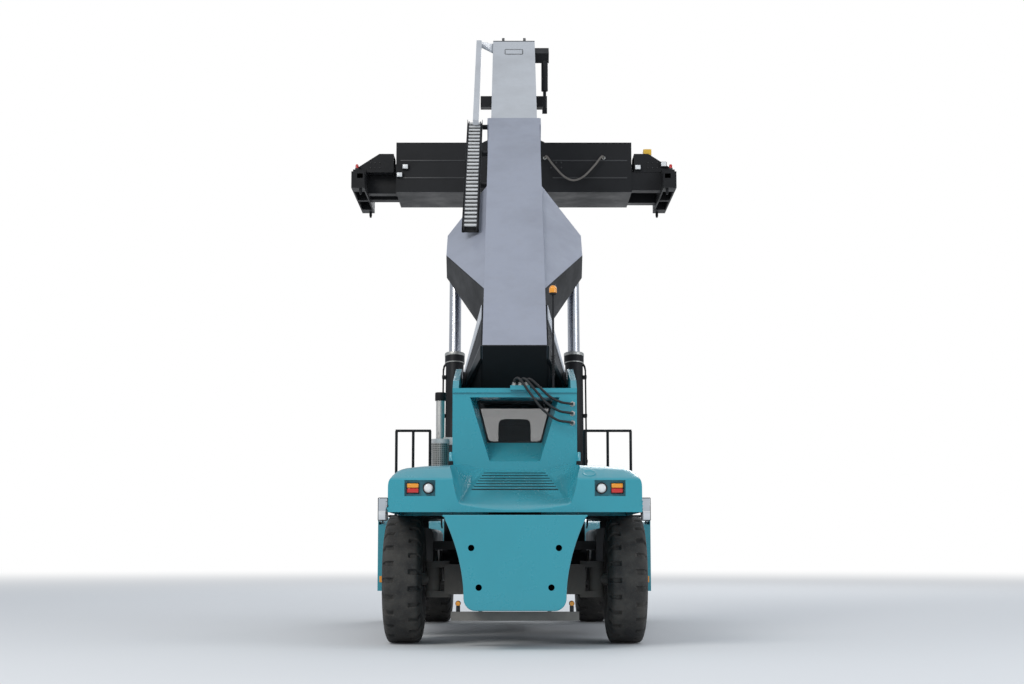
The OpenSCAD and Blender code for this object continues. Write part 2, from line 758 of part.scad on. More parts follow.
// Steer axle: a beam that swings on the chassis, with a fork at each end
steer_beam_y = 150;
steer_pivot_d = 90;
steer_cylinder_y = 360;
kingpin_x = 1050;
kingpin_d = 90;
fork_r = 105;
fork_z = 150;
fork_t = 80;
module steer_axle() {
    color(dark) placed() {
        block(-900, 900, -steer_beam_y, steer_beam_y, tyre_r - 190, tyre_r + 190);
        bar_y(0, -steer_beam_y - 110, steer_beam_y + 110, tyre_r, steer_pivot_d);
        both_sides() for (z = [tyre_r - fork_z - fork_t, tyre_r + fork_z]) {
            block(850, kingpin_x, -fork_r, fork_r, z, z + fork_t);
            bar_z(kingpin_x, 0, z, z + fork_t, 2 * fork_r);
        }
        both_sides() bar_z(kingpin_x, 0, tyre_r - fork_z - fork_t, tyre_r + fork_z + fork_t, kingpin_d);
        both_sides() block(840, 905, -fork_r, fork_r, tyre_r - fork_z - fork_t, tyre_r + fork_z + fork_t);
        bar_x(-480, 480, -steer_cylinder_y, tyre_r, 140);
        both_sides() block(380, 460, -steer_cylinder_y, -steer_beam_y + 1, tyre_r - 60, tyre_r + 60);
    }
}

// Knuckle: turns on the kingpin and carries the wheel's spindle
knuckle_d = 190;
rear_spindle_d = 160;
rear_spindle_end = rear_x + 60;
module knuckle(s) {
    color(dark) placed() on_side(s) difference() {
        union() {
            bar_z(kingpin_x, 0, tyre_r - fork_z + 1, tyre_r + fork_z - 1, knuckle_d);
            bar_x(kingpin_x, rear_spindle_end, 0, tyre_r, rear_spindle_d);
        }
        bar_z(kingpin_x, 0, tyre_r - fork_z - 1, tyre_r + fork_z + 1, kingpin_d + 2 * pin_gap);
    }
}
module knuckle_left() { knuckle(-1); }
module knuckle_right() { knuckle(1); }

// Tyre: rings of points at equal turns, with flats that stand on the ground. Every second
// ring has a slot in one shoulder, and the two shoulders take turns. Each row is a place
// across the tyre, a radius and the shoulder that it is on.
slot_count = 22;
slot_depth = 34;
slot_inner = 95;
function tyre_rows() =
    let (h = tyre_w / 2, t = tread_w / 2, rm = (rim_d / 2 + tyre_r) / 2)
    [[-h + 40, rim_d / 2 + fit_gap, 0], [-h, rm, 0], [-t - 12, tyre_r - 70, -1], [-t + 40, tyre_r - 6, -1],
    [-slot_inner, tyre_r, 0], [slot_inner, tyre_r, 0], [t - 40, tyre_r - 6, 1], [t + 12, tyre_r - 70, 1],
    [h, rm, 0], [h - 40, rim_d / 2 + fit_gap, 0]];
module tyre(x, y) {
    rows = tyre_rows();
    m = len(rows);
    n = 2 * slot_count;
    points = [for (k = [0 : n - 1], q = rows)
        let (a = 360 * (k + 0.5) / n, r = q[1] / cos(180 / n) - (q[2] == (k % 2 == 0 ? -1 : 1) ? slot_depth : 0))
        [q[0], r * cos(a), r * sin(a)]];
    faces = [for (k = [0 : n - 1], i = [0 : m - 1])
        [k * m + i, k * m + (i + 1) % m, ((k + 1) % n) * m + (i + 1) % m, ((k + 1) % n) * m + i]];
    translate([x, y, tyre_r]) polyhedron(points, faces);
}
// Rim: a barrel with a disc, open on both sides
module rim(x, y, disc_x, hub_d) {
    r = rim_d / 2;
    h = tyre_w / 2 - 40;
    translate([x, y, tyre_r]) rotate([0, 90, 0]) difference() {
        union() {
            difference() {
                translate([0, 0, -h]) cylinder(h = 2 * h, r = r);
                translate([0, 0, -h - 1]) cylinder(h = 2 * h + 2, r = r - rim_t);
            }
            translate([0, 0, disc_x - rim_t]) cylinder(h = 2 * rim_t, r = r - rim_t / 2);
        }
        translate([0, 0, -h - 1]) cylinder(h = 2 * h + 2, d = hub_d);
    }
}
module front_tyres(s) {
    color(black) placed() on_side(s) for (k = [-0.5, 0.5]) tyre(front_x + k * twin_pitch, wheelbase);
}
module front_rims(s) {
    hub_d = spindle_d + 2 * pin_gap;
    color(pale) placed() on_side(s) difference() {
        union() {
            for (k = [-0.5, 0.5]) rim(front_x + k * twin_pitch, wheelbase, 60, hub_d);
            bar_x(drive_flange_x + fit_gap, spindle_end_x + 60, wheelbase, tyre_r, 380);
            bar_x(spindle_end_x, front_x + twin_pitch / 2 + 140, wheelbase, tyre_r, 300);
        }
        bar_x(drive_flange_x - 1, spindle_end_x + 2, wheelbase, tyre_r, hub_d);
    }
}
module rear_tyre(s) {
    color(black) placed() on_side(s) tyre(rear_x, 0);
}
module rear_rim(s) {
    hub_d = rear_spindle_d + 2 * pin_gap;
    color(pale) placed() on_side(s) difference() {
        union() {
            rim(rear_x, 0, 60, hub_d);
            bar_x(rear_x - 130, rear_spindle_end + 100, 0, tyre_r, 280);
        }
        bar_x(rear_x - 131, rear_spindle_end + 2, 0, tyre_r, hub_d);
    }
}
module front_tyres_left() { front_tyres(-1); }
module front_tyres_right() { front_tyres(1); }
module front_rims_left() { front_rims(-1); }
module front_rims_right() { front_rims(1); }
module rear_tyre_left() { rear_tyre(-1); }
module rear_tyre_right() { rear_tyre(1); }
module rear_rim_left() { rear_rim(-1); }
module rear_rim_right() { rear_rim(1); }

// Cab: a hollow shell with windows, open where the doors stand
cab_top_z = cab_floor_z + cab_h;
door_y0 = cab_rear_y + 60;
door_z0 = cab_floor_z + 60;
cab_front_y = cab_rear_y + cab_roof_l;
cab_nose = 300;
module cab_side_view(inset) {
    polygon([
        [cab_rear_y + inset, cab_floor_z + inset], [cab_rear_y + inset, cab_top_z - inset],
        [cab_front_y - inset, cab_top_z - inset], [cab_front_y + cab_nose - inset, cab_floor_z + 800],
        [cab_front_y + cab_nose - 120 - inset, cab_floor_z + inset]
    ]);
}
rear_window_x = cab_x - 110;
rear_window_z0 = cab_floor_z + 420;
module cab_shell() {
    color(dark) placed() both_sides() shell_hinges();
    color(dark) placed() difference() {
        plate_x(-cab_x, cab_x) cab_side_view(0);
        plate_x(-cab_x + cab_wall, cab_x - cab_wall) cab_side_view(cab_wall);
        block(-cab_x - 1, cab_x + 1, door_y0 - door_gap, door_y0 + door_w + door_gap,
            door_z0 - door_gap, door_z0 + door_h + door_gap);
        plate_x(-cab_x - 1, cab_x + 1) side_window_profile();
        block(-rear_window_x, rear_window_x, cab_rear_y - 1, cab_rear_y + cab_wall + 1,
            rear_window_z0, cab_top_z - 110);
        block(-rear_window_x, rear_window_x, cab_front_y - 100, cab_front_y + cab_nose + 10,
            cab_floor_z + 300, cab_top_z - 110);
        block(-cab_x + 160, cab_x - 160, cab_rear_y + 300, cab_front_y - 200,
            cab_top_z - cab_wall - 1, cab_top_z + 1);
    }
}
module side_window_profile() {
    y0 = door_y0 + door_w + 110;
    polygon([[y0, cab_floor_z + 420], [y0, cab_top_z - 110], [cab_front_y - 70, cab_top_z - 110],
        [cab_front_y + cab_nose - 120, cab_floor_z + 800], [cab_front_y + cab_nose - 170, cab_floor_z + 420]]);
}
// Panes in the middle of the walls
module cab_glass() {
    m = (cab_wall - pane_t) / 2;
    color("#9fbfc8") placed() {
        both_sides() plate_x(cab_x - m - pane_t, cab_x - m) side_window_profile();
        block(-rear_window_x, rear_window_x, cab_rear_y + m, cab_rear_y + m + pane_t,
            rear_window_z0, cab_top_z - 110);
        block(-cab_x + 160, cab_x - 160, cab_rear_y + 300, cab_front_y - 200,
            cab_top_z - m - pane_t, cab_top_z - m);
        intersection() {
            difference() {
                plate_x(-rear_window_x, rear_window_x) cab_side_view(m);
                plate_x(-rear_window_x - 1, rear_window_x + 1) cab_side_view(m + pane_t);
            }
            block(-rear_window_x, rear_window_x, cab_front_y - 100, cab_front_y + cab_nose + 10,
                cab_floor_z + 300, cab_top_z - 110);
        }
    }
}
// Doors: hinged at their rear edge, as thick as the wall, with a window
hinge_d = 24;
hinge_l = 160;
hinge_x = cab_x + hinge_d / 2;
hinge_y = door_y0 - door_gap / 2;
hinge_places = [door_z0 + 120, door_z0 + door_h - 280];
module shell_hinges() {
    for (z = hinge_places) {
        bar_z(hinge_x, hinge_y, z, z + hinge_l / 2 - fit_gap, hinge_d);
        block(cab_x - 1, hinge_x, hinge_y - 40, hinge_y, z, z + hinge_l / 2 - fit_gap);
    }
}
door_frame = 80;
door_window_z0 = 350;
module cab_door(s) {
    color(dark) placed() on_side(s) difference() {
        union() {
            block(cab_x - cab_wall, cab_x, door_y0, door_y0 + door_w, door_z0, door_z0 + door_h);
            for (z = hinge_places) {
                bar_z(hinge_x, hinge_y, z + hinge_l / 2, z + hinge_l, hinge_d);
                block(cab_x - 1, hinge_x, hinge_y, door_y0 + 60, z + hinge_l / 2, z + hinge_l);
            }
        }
        block(cab_x - cab_wall - 1, cab_x + 1, door_y0 + door_frame, door_y0 + door_w - door_frame,
            door_z0 + door_window_z0, door_z0 + door_h - door_frame);
    }
}
module cab_door_left() { cab_door(-1); }
module cab_door_right() { cab_door(1); }

// Seat and controls inside the cab
seat_y = cab_rear_y + 380;
seat_base_z = cab_floor_z + cab_wall;
seat_w = 520;
seat_l = 540;
seat_h = 360;
cushion_t = 120;
back_h = 580;
module operator_seat() {
    color(black) placed() {
        block(-seat_w / 2, seat_w / 2, seat_y, seat_y + seat_l, seat_base_z + seat_h, seat_base_z + seat_h + cushion_t);
        block(-seat_w / 2 + 20, seat_w / 2 - 20, seat_y - 60, seat_y + 60,
            seat_base_z + seat_h + cushion_t + fit_gap, seat_base_z + seat_h + cushion_t + back_h);
    }
}
module cab_controls() {
    color(dark) placed() {
        block(-200, 200, seat_y + 60, seat_y + 460, seat_base_z, seat_base_z + seat_h - fit_gap);
        block(-130, 130, cab_front_y - 20, cab_front_y + 100, seat_base_z, seat_base_z + 560);
        translate([0, cab_front_y - 60, seat_base_z + 640]) rotate([-55, 0, 0]) {
            rotate_extrude() translate([200, 0]) circle(d = 32, $fn = 16);
            translate([-200, -15, -8]) cube([400, 30, 16]);
            translate([0, 0, -160]) cylinder(h = 152, d = 60);
        }
        for (x = [-420, 330]) block(x, x + 90, seat_y, seat_y + 480, seat_base_z, seat_base_z + 560);
    }
}

// Boom: drawn along Y from the pivot, then tipped up by the boom's angle
module on_boom() {
    placed() translate([0, pivot_y, pivot_z]) rotate([boom_angle, 0, 0]) children();
}
outer_top = outer_low + outer_h;
collar_l = 260;
collar_t = 22;
end_plate_t = 24;
module outer_tube(y0, y1) {
    x = outer_w / 2;
    difference() {
        block(-x, x, y0, y1, outer_low, outer_top);
        block(-x + outer_t, x - outer_t, y0 - 1, y1 + 1, outer_low + outer_t, outer_top - outer_t);
    }
}
module boom_outer() {
    x = outer_w / 2;
    color(lilac) on_boom() {
        outer_tube(outer_rear, outer_front);
        both_sides() root_flange();
        difference() {
            block(-x - collar_t, x + collar_t, outer_front - collar_l, outer_front - 10,
                outer_low - collar_t, outer_top);
            block(-x + 1, x - 1, outer_front - collar_l - 1, outer_front, outer_low + 1, outer_top + 1);
        }
    }
}
// Root: the end plate, and cheeks that flare down to the pivot's hubs
cheek_t = 30;
cheek_rear_u = outer_rear + 80;
cheek_front_u = 900;
cheek_hub_u = -100;
hub_r = 170;
cheek_x0 = outer_w / 2 + fit_gap;
cheek_x1 = hub_outer_x - 20;
root_web_w = 90;
// Slope of the cheeks' rear faces, which the pale flanges lie against
cheek_slope = (cheek_hub_u - cheek_rear_u) / (cheek_x1 - cheek_x0 - cheek_t);
flange_t = 20;
flange_w = 80;
module root_flange() {
    x = outer_w / 2;
    top_u = cheek_rear_u - fit_gap - (cheek_t + 1 + fit_gap) * cheek_slope;
    hub_u = cheek_hub_u - fit_gap - (cheek_x1 - hub_outer_x + flange_w) * cheek_slope;
    hull() {
        block(x - 1, x + cheek_t, top_u - flange_t, top_u, outer_top - 220, outer_top - 20);
        block(hub_outer_x - flange_w, hub_outer_x, hub_u - flange_t, hub_u, 20, 60);
    }
}
module boom_root() {
    x = outer_w / 2;
    color(black) on_boom() {
        block(-x, x, outer_rear - end_plate_t, outer_rear - fit_gap, outer_low, outer_top);
        difference() {
            union() {
                both_sides() {
                    bar_x(hub_outer_x - hub_t - 60, hub_outer_x, 0, 0, 2 * hub_r);
                    hull() {
                        block(cheek_x0, cheek_x0 + cheek_t, cheek_rear_u, cheek_front_u, outer_low + 20, outer_low + 560);
                        block(cheek_x1 - cheek_t, cheek_x1, cheek_hub_u, hub_r, -hub_r + 50, 90);
                    }
                }
                block(-hub_outer_x + hub_t, hub_outer_x - hub_t, -100, 100, -100, 100);
                block(-x, x, -100, 500, root_web_w, outer_low - fit_gap);
            }
            bar_x(-hub_outer_x - 1, hub_outer_x + 1, 0, 0, pivot_d + 2 * pin_gap);
        }
        both_sides() wing_back_plate();
    }
}
// Wings: flared brackets that hold the lift cylinders' upper ends, with a plate behind each
wing_x = 1035;
wing_t = 26;
wing_u0 = 950;
wing_u1 = 4200;
wing_back = 260;
wing_l = 640;
wing_h = 380;
wing_edge = 60;
wing_w0 = outer_low + 60;
module wing_back_plate() {
    hull() {
        block(cheek_x0, cheek_x0 + 1, wing_u0, wing_u0 + wing_t, wing_w0, outer_top - 60);
        block(wing_x - 1, wing_x, lift_u - wing_back - 5, lift_u - wing_back - 5 + wing_t, wing_w0, wing_w0 + wing_h);
    }
}
module wing_form(t) {
    x0 = outer_w / 2;
    near_u = wing_u0 + wing_t + fit_gap + t;
    far_u = lift_u - wing_back + wing_t + fit_gap + t;
    hull() {
        translate([x0 - 1, near_u, wing_w0]) cube([1, wing_u1 - t - near_u, outer_h - 120 - t]);
        translate([wing_x - t - wing_edge, far_u, wing_w0]) cube([wing_edge, wing_l - wing_t - 2 * t, wing_h - t]);
    }
}
module boom_wings() {
    x0 = outer_w / 2;
    color(lilac) on_boom() both_sides() difference() {
        wing_form(0);
        translate([0, 0, -wing_t]) wing_form(wing_t);
        block(0, x0 + fit_gap, 0, outer_front, -outer_h, 2 * outer_top);
    }
}
inner_gap_w = (outer_w - 2 * outer_t - inner_w) / 2;
inner_low = outer_low + outer_t + (outer_h - 2 * outer_t - inner_h) / 2;
inner_top = inner_low + inner_h;
inner_tip = outer_front + inner_out;
inner_tail = inner_tip - inner_l;
pad_l = 220;
pad_w = 120;
module boom_inner() {
    x = inner_w / 2;
    pad_h = inner_low - outer_low - outer_t - fit_gap;
    color(pale) on_boom() {
        difference() {
            block(-x, x, inner_tail, inner_tip, inner_low, inner_top);
            block(-x + inner_t, x - inner_t, inner_tail - 1, inner_tip - 40,
                inner_low + inner_t, inner_top - inner_t);
        }
        chain_pole();
    }
    color(black) on_boom() both_sides() {
        block(x - pad_w, x, inner_tail, inner_tail + pad_l, inner_top, inner_top + pad_h);
        block(x - pad_w, x, inner_tail, inner_tail + pad_l, inner_low - pad_h, inner_low);
    }
}
// Head: nose plates from the inner boom's end down to the head pin
nose_x = 230;
nose_t = 50;
head_u = (head_y - pivot_y) * cos(boom_angle) + (head_z - pivot_z) * sin(boom_angle);
head_w = -(head_y - pivot_y) * sin(boom_angle) + (head_z - pivot_z) * cos(boom_angle);
yoke_x = 300;
module boom_head() {
    x = inner_w / 2;
    color(black) on_boom() {
        block(-x, x, inner_tip, inner_tip + 40, inner_low, inner_top);
        both_sides() plate_x(nose_x - nose_t, nose_x) polygon([
            [inner_tip + 39, inner_low], [inner_tip + 39, inner_top - 60], [head_u - 260, inner_top - 200],
            [head_u + 130, head_w + 120], [head_u + 130, head_w - 110], [head_u - 130, head_w - 130],
            [head_u - 300, head_w + 260]]);
        bar_x(-nose_x, nose_x, inner_tip + 280, inner_low + 160, 120);
        bar_x(-yoke_x - 70, yoke_x + 70, head_u, head_w, head_pin_d);
        tip_bracket();
    }
}
// Pole that draws the energy chain along, held at the inner boom's tip
pole_x = -650;
pole_d = 95;
pole_w = outer_top + 130;
pole_u0 = inner_tip - 4080;
pole_u1 = inner_tip - 560;
module chain_pole() {
    block(pole_x - pole_d / 2, pole_x + pole_d / 2, pole_u0, pole_u1, pole_w - pole_d / 2, pole_w + pole_d / 2);
    hull() {
        block(pole_x - pole_d / 2, pole_x + pole_d / 2, pole_u1 - 80, pole_u1, pole_w - 20, pole_w + 20);
        block(-inner_w / 2 - 1, -inner_w / 2 + 1, inner_tip - 440, inner_tip - 60, inner_top - 60, inner_top - 20);
    }
}
// Bracket on the tip's right with an upright cylinder, its rod and fitting
tip_x = 580;
tip_u = inner_tip - 300;
tip_cylinder_l = 700;
tip_cylinder_d = 125;
tip_rod_l = 380;
tip_rod_d = 60;
module tip_bracket() {
    block(inner_w / 2 + fit_gap, tip_x + 80, tip_u - 130, tip_u + 130, inner_top - 260, inner_top - 60);
    translate([tip_x, tip_u, inner_top - 150]) rotate([-boom_angle, 0, 0]) {
        translate([0, 0, -tip_cylinder_l]) cylinder(h = tip_cylinder_l, d = tip_cylinder_d);
        translate([0, 0, -tip_cylinder_l - tip_rod_l]) cylinder(h = tip_rod_l + 1, d = tip_rod_d);
        translate([0, 0, -tip_cylinder_l - tip_rod_l]) rotate([0, 90, 0]) cylinder(h = 90, d = 120, center = true);
    }
}

// Energy chain in its trough on the left of the outer boom: rungs between two bands
trough_x0 = -800;
trough_x1 = -540;
trough_u0 = 2700;
trough_u1 = outer_front - 40;
trough_w = outer_top - 90;
trough_t = 12;
chain_h = 110;
band_t = 30;
rung_pitch = 150;
rung_l = 60;
module energy_chain() {
    low = trough_w + trough_t - 1;
    color(black) on_boom() {
        block(trough_x0, trough_x1, trough_u0, trough_u1, trough_w, trough_w + trough_t);
        for (u = [wing_u1 + 100, (wing_u1 + trough_u1) / 2, trough_u1 - 120])
            block(trough_x1 - 1, -outer_w / 2 - (u > outer_front - collar_l - 60 ? collar_t : 0) - fit_gap,
                u, u + 60, trough_w - 60, trough_w + trough_t);
        for (x = [trough_x0 + 20, trough_x1 - 20 - band_t])
            block(x, x + band_t, trough_u0, trough_u1, low, trough_w + chain_h - 30);
        for (u = [trough_u0 : rung_pitch : trough_u1 - rung_l])
            block(trough_x0 + 20, trough_x1 - 20, u, u + rung_l, low, trough_w + chain_h);
    }
}

// Lift cylinders: drawn standing up from the lower pin, then leaned to the upper pin
lift_top_y = pivot_y + lift_u * cos(boom_angle) - lift_w * sin(boom_angle);
lift_top_z = pivot_z + lift_u * sin(boom_angle) + lift_w * cos(boom_angle);
lift_lean = atan2(lift_top_y - lift_y, lift_top_z - lift_z);
lift_l = norm([lift_top_y - lift_y, lift_top_z - lift_z]);
module on_cylinder(s) {
    placed() on_side(s) translate([lift_x, lift_y, lift_z]) rotate([-lift_lean, 0, 0]) children();
}
gland_l = 140;
eye_r = 120;
eye_w = 150;
rod_clear = 0.5;
bore_low = 300;
rod_tail = 1430;
module lift_barrel(s) {
    color(black) on_cylinder(s) difference() {
        union() {
            cylinder(h = barrel_l - gland_l, d = barrel_d);
            translate([0, 0, barrel_l - gland_l]) cylinder(h = gland_l, d = barrel_d + 30);
            bar_x(-lug_outer_x + lift_x + lug_t + 2, lug_outer_x - lift_x - lug_t - 2, 0, 0, 2 * eye_r + 60);
            bar_x(lug_inner_x - lift_x - 5, lug_outer_x - lift_x + 5, 0, 0, lift_pin_d);
        }
        translate([0, 0, bore_low]) cylinder(h = barrel_l, d = rod_d + 2 * rod_clear);
    }
}
module lift_rod(s) {
    rod_end = lift_l - eye_r + 20;
    color(chrome) on_cylinder(s) {
        translate([0, 0, rod_tail]) cylinder(h = rod_end - rod_tail, d = rod_d);
        translate([0, 0, lift_l]) rotate([0, 90, 0]) cylinder(h = eye_w, r = eye_r, center = true);
        bar_x(-eye_w / 2 - 40, wing_x - wing_t - lift_x - fit_gap, 0, lift_l, lift_pin_d);
    }
}
module lift_barrel_left() { lift_barrel(-1); }
module lift_barrel_right() { lift_barrel(1); }
module lift_rod_left() { lift_rod(-1); }
module lift_rod_right() { lift_rod(1); }

// Yoke: hangs from the head pin and keeps the spreader level
yoke_t = 50;
yoke_beam_x = 660;
yoke_beam_z = 9880;
yoke_beam_h = 220;
ring_z = 9060;
ring_d = 1300;
ring_t = 90;
ring_gap = fit_gap;
frame_top_z = ring_z - ring_t;
module yoke_plate() {
    polygon([
        [head_y - 150, head_z + 60], [head_y - 90, head_z + 140], [head_y + 90, head_z + 140],
        [head_y + 150, head_z + 60], [head_y + 420, ring_z + 60], [head_y + 420, ring_z],
        [head_y - 420, ring_z], [head_y - 420, ring_z + 60]
    ]);
}
module spreader_yoke() {
    color(black) placed() difference() {
        union() {
            both_sides() plate_x(yoke_x, yoke_x + yoke_t) yoke_plate();
            translate([0, head_y, ring_z]) cylinder(h = 70, d = ring_d);
            block(-yoke_x - 1, yoke_x + 1, head_y - 30, head_y + 30, ring_z + 60, ring_z + 420);
            difference() {
                block(-yoke_beam_x, yoke_beam_x, head_y - 110, head_y + 110, yoke_beam_z, yoke_beam_z + yoke_beam_h);
                block(-yoke_beam_x - 1, yoke_beam_x + 1, head_y - 85, head_y + 85,
                    yoke_beam_z + 25, yoke_beam_z + yoke_beam_h - 25);
            }
        }
        bar_x(-yoke_x - yoke_t - 1, yoke_x + yoke_t + 1, head_y, head_z, head_pin_d + 2 * pin_gap);
    }
}
// Rotator: the turning ring and the frame that the main beam slides in
slide_x = 900;
slide_y = 700;
frame_h = 150;
module rotator_frame() {
    color(black) placed() translate([0, head_y, 0]) {
        translate([0, 0, frame_top_z - 1]) cylinder(h = ring_t - ring_gap + 1, d = ring_d - 60);
        difference() {
            block(-slide_x, slide_x, -slide_y, slide_y, frame_top_z - frame_h, frame_top_z);
            for (x = [-1, 1], y = [-1, 1])
                translate([x * slide_x / 2, y * slide_y / 2, frame_top_z - frame_h - 1])
                    translate([-slide_x / 2 + 60, -slide_y / 2 + 60, 0])
                        cube([slide_x - 120, slide_y - 120, frame_h - 20]);
        }
    }
}
// Main beam: four boxed channels side by side that the end arms run in
arm_w = 240;
arm_h = 420;
arm_gap = 10;
arm_low = lock_z + 60;
beam_low = lock_z + 20;
// Arm places across the beam: the left end's, then the right end's
arm_y = [290, 590];
rail_plate_t = 36;
lip_w = 70;
lip_t = 30;
beam_top = beam_low + beam_h;
module spreader_beam() {
    color(black) placed() translate([0, head_y, 0]) difference() {
        union() {
            block(-beam_l / 2, beam_l / 2, -beam_w / 2, beam_w / 2, beam_low, beam_top);
            for (s = [0, 1]) mirror([0, s, 0]) {
                block(-beam_l / 2, beam_l / 2, slide_y + fit_gap, slide_y + fit_gap + rail_plate_t,
                    beam_top - 1, frame_top_z + fit_gap + lip_t);
                block(-beam_l / 2, beam_l / 2, slide_y - lip_w, slide_y + 1,
                    frame_top_z + fit_gap, frame_top_z + fit_gap + lip_t);
            }
        }
        for (a = arm_y, s = [-1, 1])
            block(-beam_l / 2 - 1, beam_l / 2 + 1, s * a - arm_w / 2 - arm_gap, s * a + arm_w / 2 + arm_gap,
                arm_low - fit_gap, arm_low + arm_h + arm_gap);
        block(-beam_l / 2 - 1, beam_l / 2 + 1, -144, 144, beam_low + 20, beam_top - 20);
    }
}
// End beam with its two arms, corner housings and locks
arm_l = 4700;
corner_h = 320;
end_t = 25;
arm_t = 16;
arm_top = arm_h - 60;
module spreader_end(s) {
    x1 = spreader_l / 2;
    x0 = x1 - end_w;
    a = s < 0 ? arm_y[0] : arm_y[1];
    color(black) placed() translate([0, head_y, 0]) on_side(s) {
        difference() {
            block(x0, x1, -end_y, end_y, lock_z, lock_z + end_h);
            both_ends() block(x0 + end_t, x1 - end_t, 60, end_y - 40, lock_z - 1, lock_z + end_h - end_t);
        }
        both_ends() {
            block(x0, x1, end_y - 1, spreader_w / 2, lock_z, lock_z + corner_h);
            difference() {
                block(x1 - arm_l, x0 + 1, a - arm_w / 2, a + arm_w / 2, arm_low, arm_low + arm_top);
                block(x1 - arm_l - 1, x0 - 30, a - arm_w / 2 + arm_t, a + arm_w / 2 - arm_t,
                    arm_low + arm_t, arm_low + arm_top - arm_t);
            }
            difference() {
                gear_box(0);
                gear_box(gear_t);
            }
            translate([x1 - lock_inset_l, spreader_w / 2 - lock_inset_w, lock_z - lock_l]) {
                cylinder(h = lock_tip_l, d1 = lock_d * 0.6, d2 = lock_d);
                translate([0, 0, lock_tip_l]) cylinder(h = lock_l - lock_tip_l + 1, d = lock_d);
            }
        }
    }
}
// A second copy across the spreader
module both_ends() {
    children();
    mirror([0, 1, 0]) children();
}
// Housing on the arms for the lock gear: its outer end slopes down and its inner end is open
gear_l = 520;
gear_slope = 430;
gear_t = 16;
gear_y0 = 160;
gear_y1 = 720;
gear_top_z = 8780;
module gear_box(inset) {
    x0 = spreader_l / 2 - end_w - gear_l - (inset > 0 ? 1 : 0);
    x1 = spreader_l / 2 - 60 - inset;
    z0 = arm_low + arm_top - 5 + inset;
    plate_y(gear_y0 + inset, gear_y1 - inset) polygon([[x0, z0], [x0, gear_top_z - inset],
        [x1 - gear_slope - inset / 2, gear_top_z - inset], [x1, lock_z + end_h + 70 - inset], [x1, z0]]);
}
end_y = 900;
lock_l = 110;
lock_tip_l = 40;
module spreader_end_left() { spreader_end(-1); }
module spreader_end_right() { spreader_end(1); }

// Mirrors on the front fenders' outer plates
mirror_w = 165;
mirror_h = 370;
mirror_t = 40;
mirror_x = fender_x - 78;
mirror_y = skirt_rear_y - 40;
mirror_z = 1630;
mirror_arm_z = 1590;
mirror_arm_l = 240;
mirror_arm_t = 14;
module mirrors() {
    color(black) placed() both_sides() {
        block(mirror_x - 15, fender_x - sheet_t - fit_gap, mirror_y - 15, mirror_y + mirror_arm_l,
            mirror_arm_z, mirror_arm_z + mirror_arm_t);
        bar_z(mirror_x, mirror_y, mirror_arm_z + mirror_arm_t / 2, mirror_z + 1, 26);
        block(mirror_x - mirror_w / 2, mirror_x + mirror_w / 2, mirror_y - mirror_t / 2, mirror_y + mirror_t / 2,
            mirror_z, mirror_z + mirror_h);
    }
}

// Beacon on its pole on the tower's rear wall
beacon_x = 510;
beacon_z = 4560;
module beacon() {
    y = tower_rear_y + plate_t / 2;
    color(dark) placed() bar_z(beacon_x, y, tower_top_z, beacon_z, 30);
    color(amber) placed() bar_z(beacon_x, y, beacon_z, beacon_z + 120, 110);
}

// Lamps in the hood's pockets
module lamps() {
    color(pale) placed() both_sides() {
        bar_y(pocket_x - 100, hood_rear_y + 20, hood_rear_y + pocket_depth, pocket_z, 140);
        block(pocket_x + 10, pocket_x + 165, hood_rear_y + 20, hood_rear_y + pocket_depth,
            pocket_z - 65, pocket_z + 65);
    }
}

// Hoses: hand-chosen points, from the boom's root to the tower's right plate
hose_d = 34;
hose_upper_route = [[150, 180, 3330], [150, 180, 3360], [170, 170, 3410], [220, 150, 3400], [330, 140, 3300],
    [460, 140, 3180], [600, 150, 3110], [700, 160, 3092], [760, 200, 3090], [760, tower_rear_y - fit_gap, 3090]];
hose_middle_route = [[70, 180, 3330], [70, 180, 3360], [90, 160, 3410], [150, 120, 3400], [270, 110, 3260],
    [420, 100, 3090], [580, 110, 2990], [700, 140, 2968], [760, 195, 2965], [760, tower_rear_y - fit_gap, 2965]];
hose_lower_route = [[-10, 180, 3330], [-10, 180, 3360], [10, 150, 3415], [70, 90, 3400], [200, 80, 3220],
    [370, 70, 3000], [550, 80, 2870], [690, 120, 2845], [760, 190, 2840], [760, tower_rear_y - fit_gap, 2840]];
spreader_hose_d = 40;
spreader_hose_y = -slide_y - rail_plate_t - 2 * fit_gap;
spreader_hose_route = [[600, spreader_hose_y, 8690], [600, -790, 8690], [640, -850, 8690],
    [760, -880, 8520], [960, -890, 8300], [1150, -890, 8220], [1350, -890, 8300], [1560, -880, 8520],
    [1690, -850, 8690], [1740, -790, 8690], [1740, spreader_hose_y, 8690]];
module hose(route, d) {
    color(black) placed() swept_tube(smooth_route(route, 4), d);
}
module boom_hose_upper() { hose(hose_upper_route, hose_d); }
module boom_hose_middle() { hose(hose_middle_route, hose_d); }
module boom_hose_lower() { hose(hose_lower_route, hose_d); }
module spreader_hose() {
    translate([0, head_y, 0]) hose(spreader_hose_route, spreader_hose_d);
}

